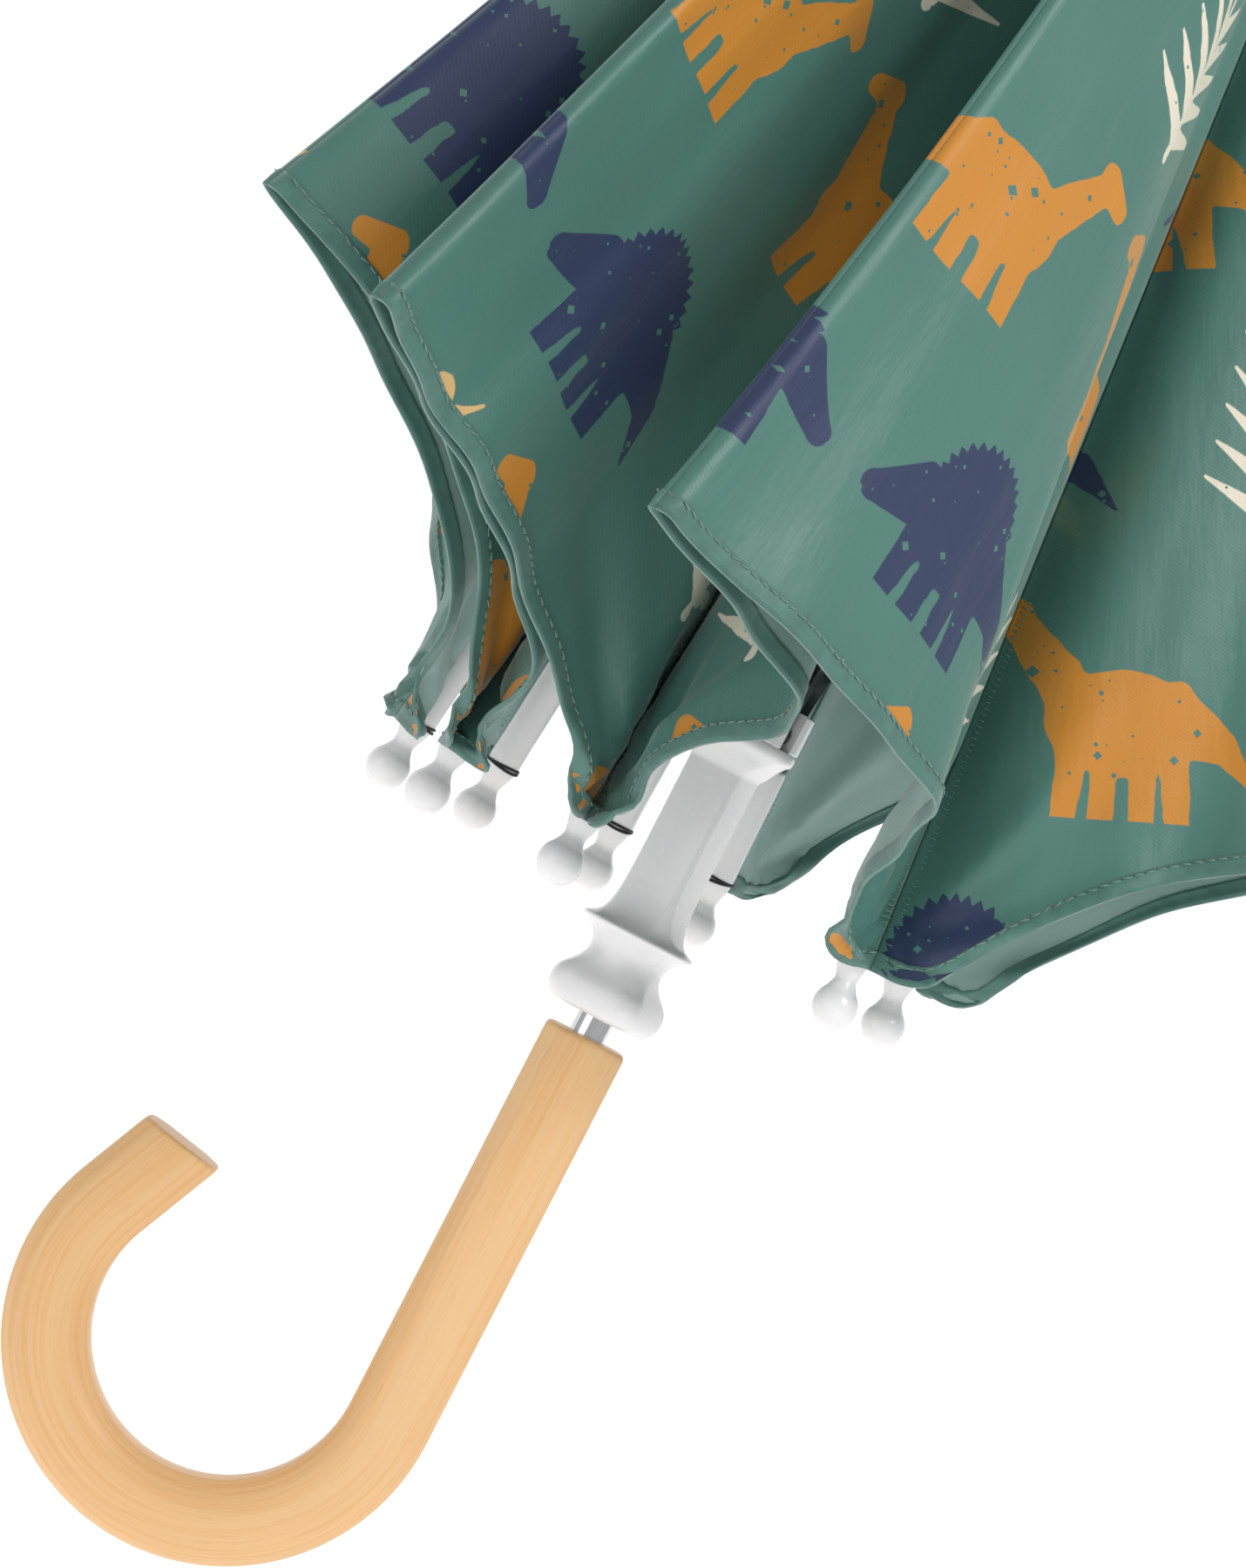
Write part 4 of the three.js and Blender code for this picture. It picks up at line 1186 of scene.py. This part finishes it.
class UMBRELLA_OT_strap(bpy.types.Operator):
    """Hangs the closing strap with its snap on the gore at the back"""
    bl_idname = "umbrella.strap"
    bl_label = "Closing strap"

    def execute(self, context):
        h = gores[5].halves["a"]
        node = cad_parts["closing_strap"]
        corners = np.array([v.co for v in node.data.vertices])
        centre = corners.mean(0)
        along, across, out = h.rib.closed, h.across, h.normal * h.outside
        long_half = float(np.abs((corners - centre) @ along).max())
        wide_half = float(np.abs((corners - centre) @ across).max())
        rows, columns = 60, 6
        points = []
        for i in range(rows + 1):
            t = i / rows * 2 - 1
            for j in range(columns + 1):
                w = j / columns * 2 - 1
                tip = max(0.0, (t - 0.9) / 0.1)
                width = wide_half * math.sqrt(max(0.02, 1 - tip**2)) if tip else wide_half
                bow = 0.0007 * math.sin(t * 5.2) + 0.0003 * math.cos(w * 3 + t * 8)
                points.append(centre + along * t * long_half + across * w * width + out * bow)
        wide = columns + 1
        starts = [i * wide + j for i in range(rows) for j in range(columns)]
        faces = [(a, a + 1, a + 1 + wide, a + wide) for a in starts]
        strap = new_piece("strap_band", points, faces, finish("hem_cloth"))
        if strap.data.polygons[0].normal.dot(Vector(out)) < 0:
            strap.data.flip_normals()
        layer = strap.data.uv_layers.new(name="flat_cut")
        for loop in strap.data.loops:
            i = loop.vertex_index
            layer.data[loop.index].uv = (i % (columns + 1) * 0.002, i // (columns + 1) * 0.0018)
        m = strap.modifiers.new("thickness", "SOLIDIFY")
        m.thickness, m.offset = 0.0009, 0.0
        place = centre + along * (long_half - 0.008) + out * 0.0009
        profile = [(4.6, 0.0), (4.9, 0.15), (4.95, 0.5), (4.6, 0.9), (3.4, 1.25), (3.0, 1.1), (1.5, 1.3), (0.3, 1.35)]
        snap = turned("snap_cap", profile, 40, finish("polished_steel"), axis=(np.array(place) / MM, np.array(out)))
        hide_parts("closing_strap")
        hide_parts("snap_button")
        for o in (strap, snap):
            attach(o, h.body)
        return {"FINISHED"}


class UMBRELLA_OT_stage(bpy.types.Operator):
    """Sets the floor, the lights and the camera"""
    bl_idname = "umbrella.stage"
    bl_label = "Floor, lights and camera"

    def execute(self, context):
        scene = context.scene
        floor_z = CAD_BOX[0][2] - scene.umbrella_sizes.floor_gap
        # one sweep of paper: floor, curve and wall
        outline = [(-3.2, floor_z)] + [(1.6 + 0.8 * math.sin(t), floor_z + 0.8 - 0.8 * math.cos(t))
                                       for t in np.linspace(0, math.pi / 2, 24)] + [(2.4, 3.4)]
        points = [(x, y, z) for x in (-4.5, 4.5) for y, z in outline]
        n = len(outline)
        faces = [(i, i + n, i + n + 1, i + 1) for i in range(n - 1)]
        floor = new_piece("floor_sweep", points, faces, finish("stage_white"))
        if floor.data.polygons[0].normal.z < 0:
            floor.data.flip_normals()
        target = Vector(CAMERA_TARGET)
        camera = bpy.data.objects.new("camera", bpy.data.cameras.new("camera"))
        scene.collection.objects.link(camera)
        right = Vector((math.cos(CAMERA_LEAN), 0, math.sin(CAMERA_LEAN)))
        up = Vector((-math.sin(CAMERA_LEAN), 0, math.cos(CAMERA_LEAN)))
        camera.matrix_world = Matrix((
            (right.x, up.x, 0, target.x), (0, 0, -1, target.y - CAMERA_BACK), (right.z, up.z, 0, target.z),
            (0, 0, 0, 1)))
        camera.data.lens, camera.data.sensor_width = CAMERA_LENS, 36
        camera.data.clip_start, camera.data.clip_end = 0.05, 30
        scene.camera = camera
        world = bpy.data.worlds.new("studio")
        scene.world = world
        world.use_nodes = True
        nodes, link = world.node_tree.nodes, world.node_tree.links.new
        soft = nodes["Background"]
        # white to look at, but only softly bright as a light
        kinds = ("Background", "LightPath", "MixShader")
        white, rays, both = (nodes.new("ShaderNode" + kind) for kind in kinds)
        for background, strength in ((soft, SOFT_LIGHT), (white, SEEN_LIGHT)):
            background.inputs[0].default_value = (1, 1, 1, 1)
            background.inputs[1].default_value = strength
        link(rays.outputs["Is Camera Ray"], both.inputs[0])
        link(soft.outputs[0], both.inputs[1])
        link(white.outputs[0], both.inputs[2])
        link(both.outputs[0], nodes["World Output"].inputs[0])
        for name, at, size, power in LAMPS:
            lamp = bpy.data.lights.new(name, "AREA")
            lamp.shape, lamp.size, lamp.energy = "DISK", size, power
            o = bpy.data.objects.new(name, lamp)
            scene.collection.objects.link(o)
            aim = (LAMPS_AIM - Vector(at)).to_track_quat("-Z", "Y")
            o.matrix_world = Matrix.Translation(at) @ aim.to_matrix().to_4x4()
        scene.view_settings.view_transform = "Standard"
        return {"FINISHED"}


PIECES = (UMBRELLA_OT_stage, UMBRELLA_OT_handle, UMBRELLA_OT_runner, UMBRELLA_OT_crown, UMBRELLA_OT_frame_finish,
          UMBRELLA_OT_tips, UMBRELLA_OT_canopy, UMBRELLA_OT_stitches, UMBRELLA_OT_strap)


class UMBRELLA_PT_panel(bpy.types.Panel):
    """Sizes, colours and the pieces, in the order that they are made"""
    bl_idname = "UMBRELLA_PT_panel"
    bl_label = "Children's umbrella"
    bl_space_type = "VIEW_3D"
    bl_region_type = "UI"
    bl_category = "Umbrella"

    def draw(self, context):
        for group in (context.scene.umbrella_sizes, context.scene.umbrella_colours):
            box = self.layout.box()
            for key in group.__annotations__:
                box.prop(group, key)
        for piece in PIECES:
            self.layout.operator(piece.bl_idname)


CLASSES = (UmbrellaSizes, UmbrellaColours, *PIECES, UMBRELLA_PT_panel)


def register():
    for c in CLASSES:
        bpy.utils.register_class(c)
    bpy.types.Scene.umbrella_sizes = bpy.props.PointerProperty(type=UmbrellaSizes)
    bpy.types.Scene.umbrella_colours = bpy.props.PointerProperty(type=UmbrellaColours)


def unregister():
    del bpy.types.Scene.umbrella_colours
    del bpy.types.Scene.umbrella_sizes
    for c in reversed(CLASSES):
        bpy.utils.unregister_class(c)


def main():
    register()
    for piece in PIECES:
        group, name = piece.bl_idname.split(".")
        getattr(getattr(bpy.ops, group), name)()


if __name__ == "__main__":
    main()
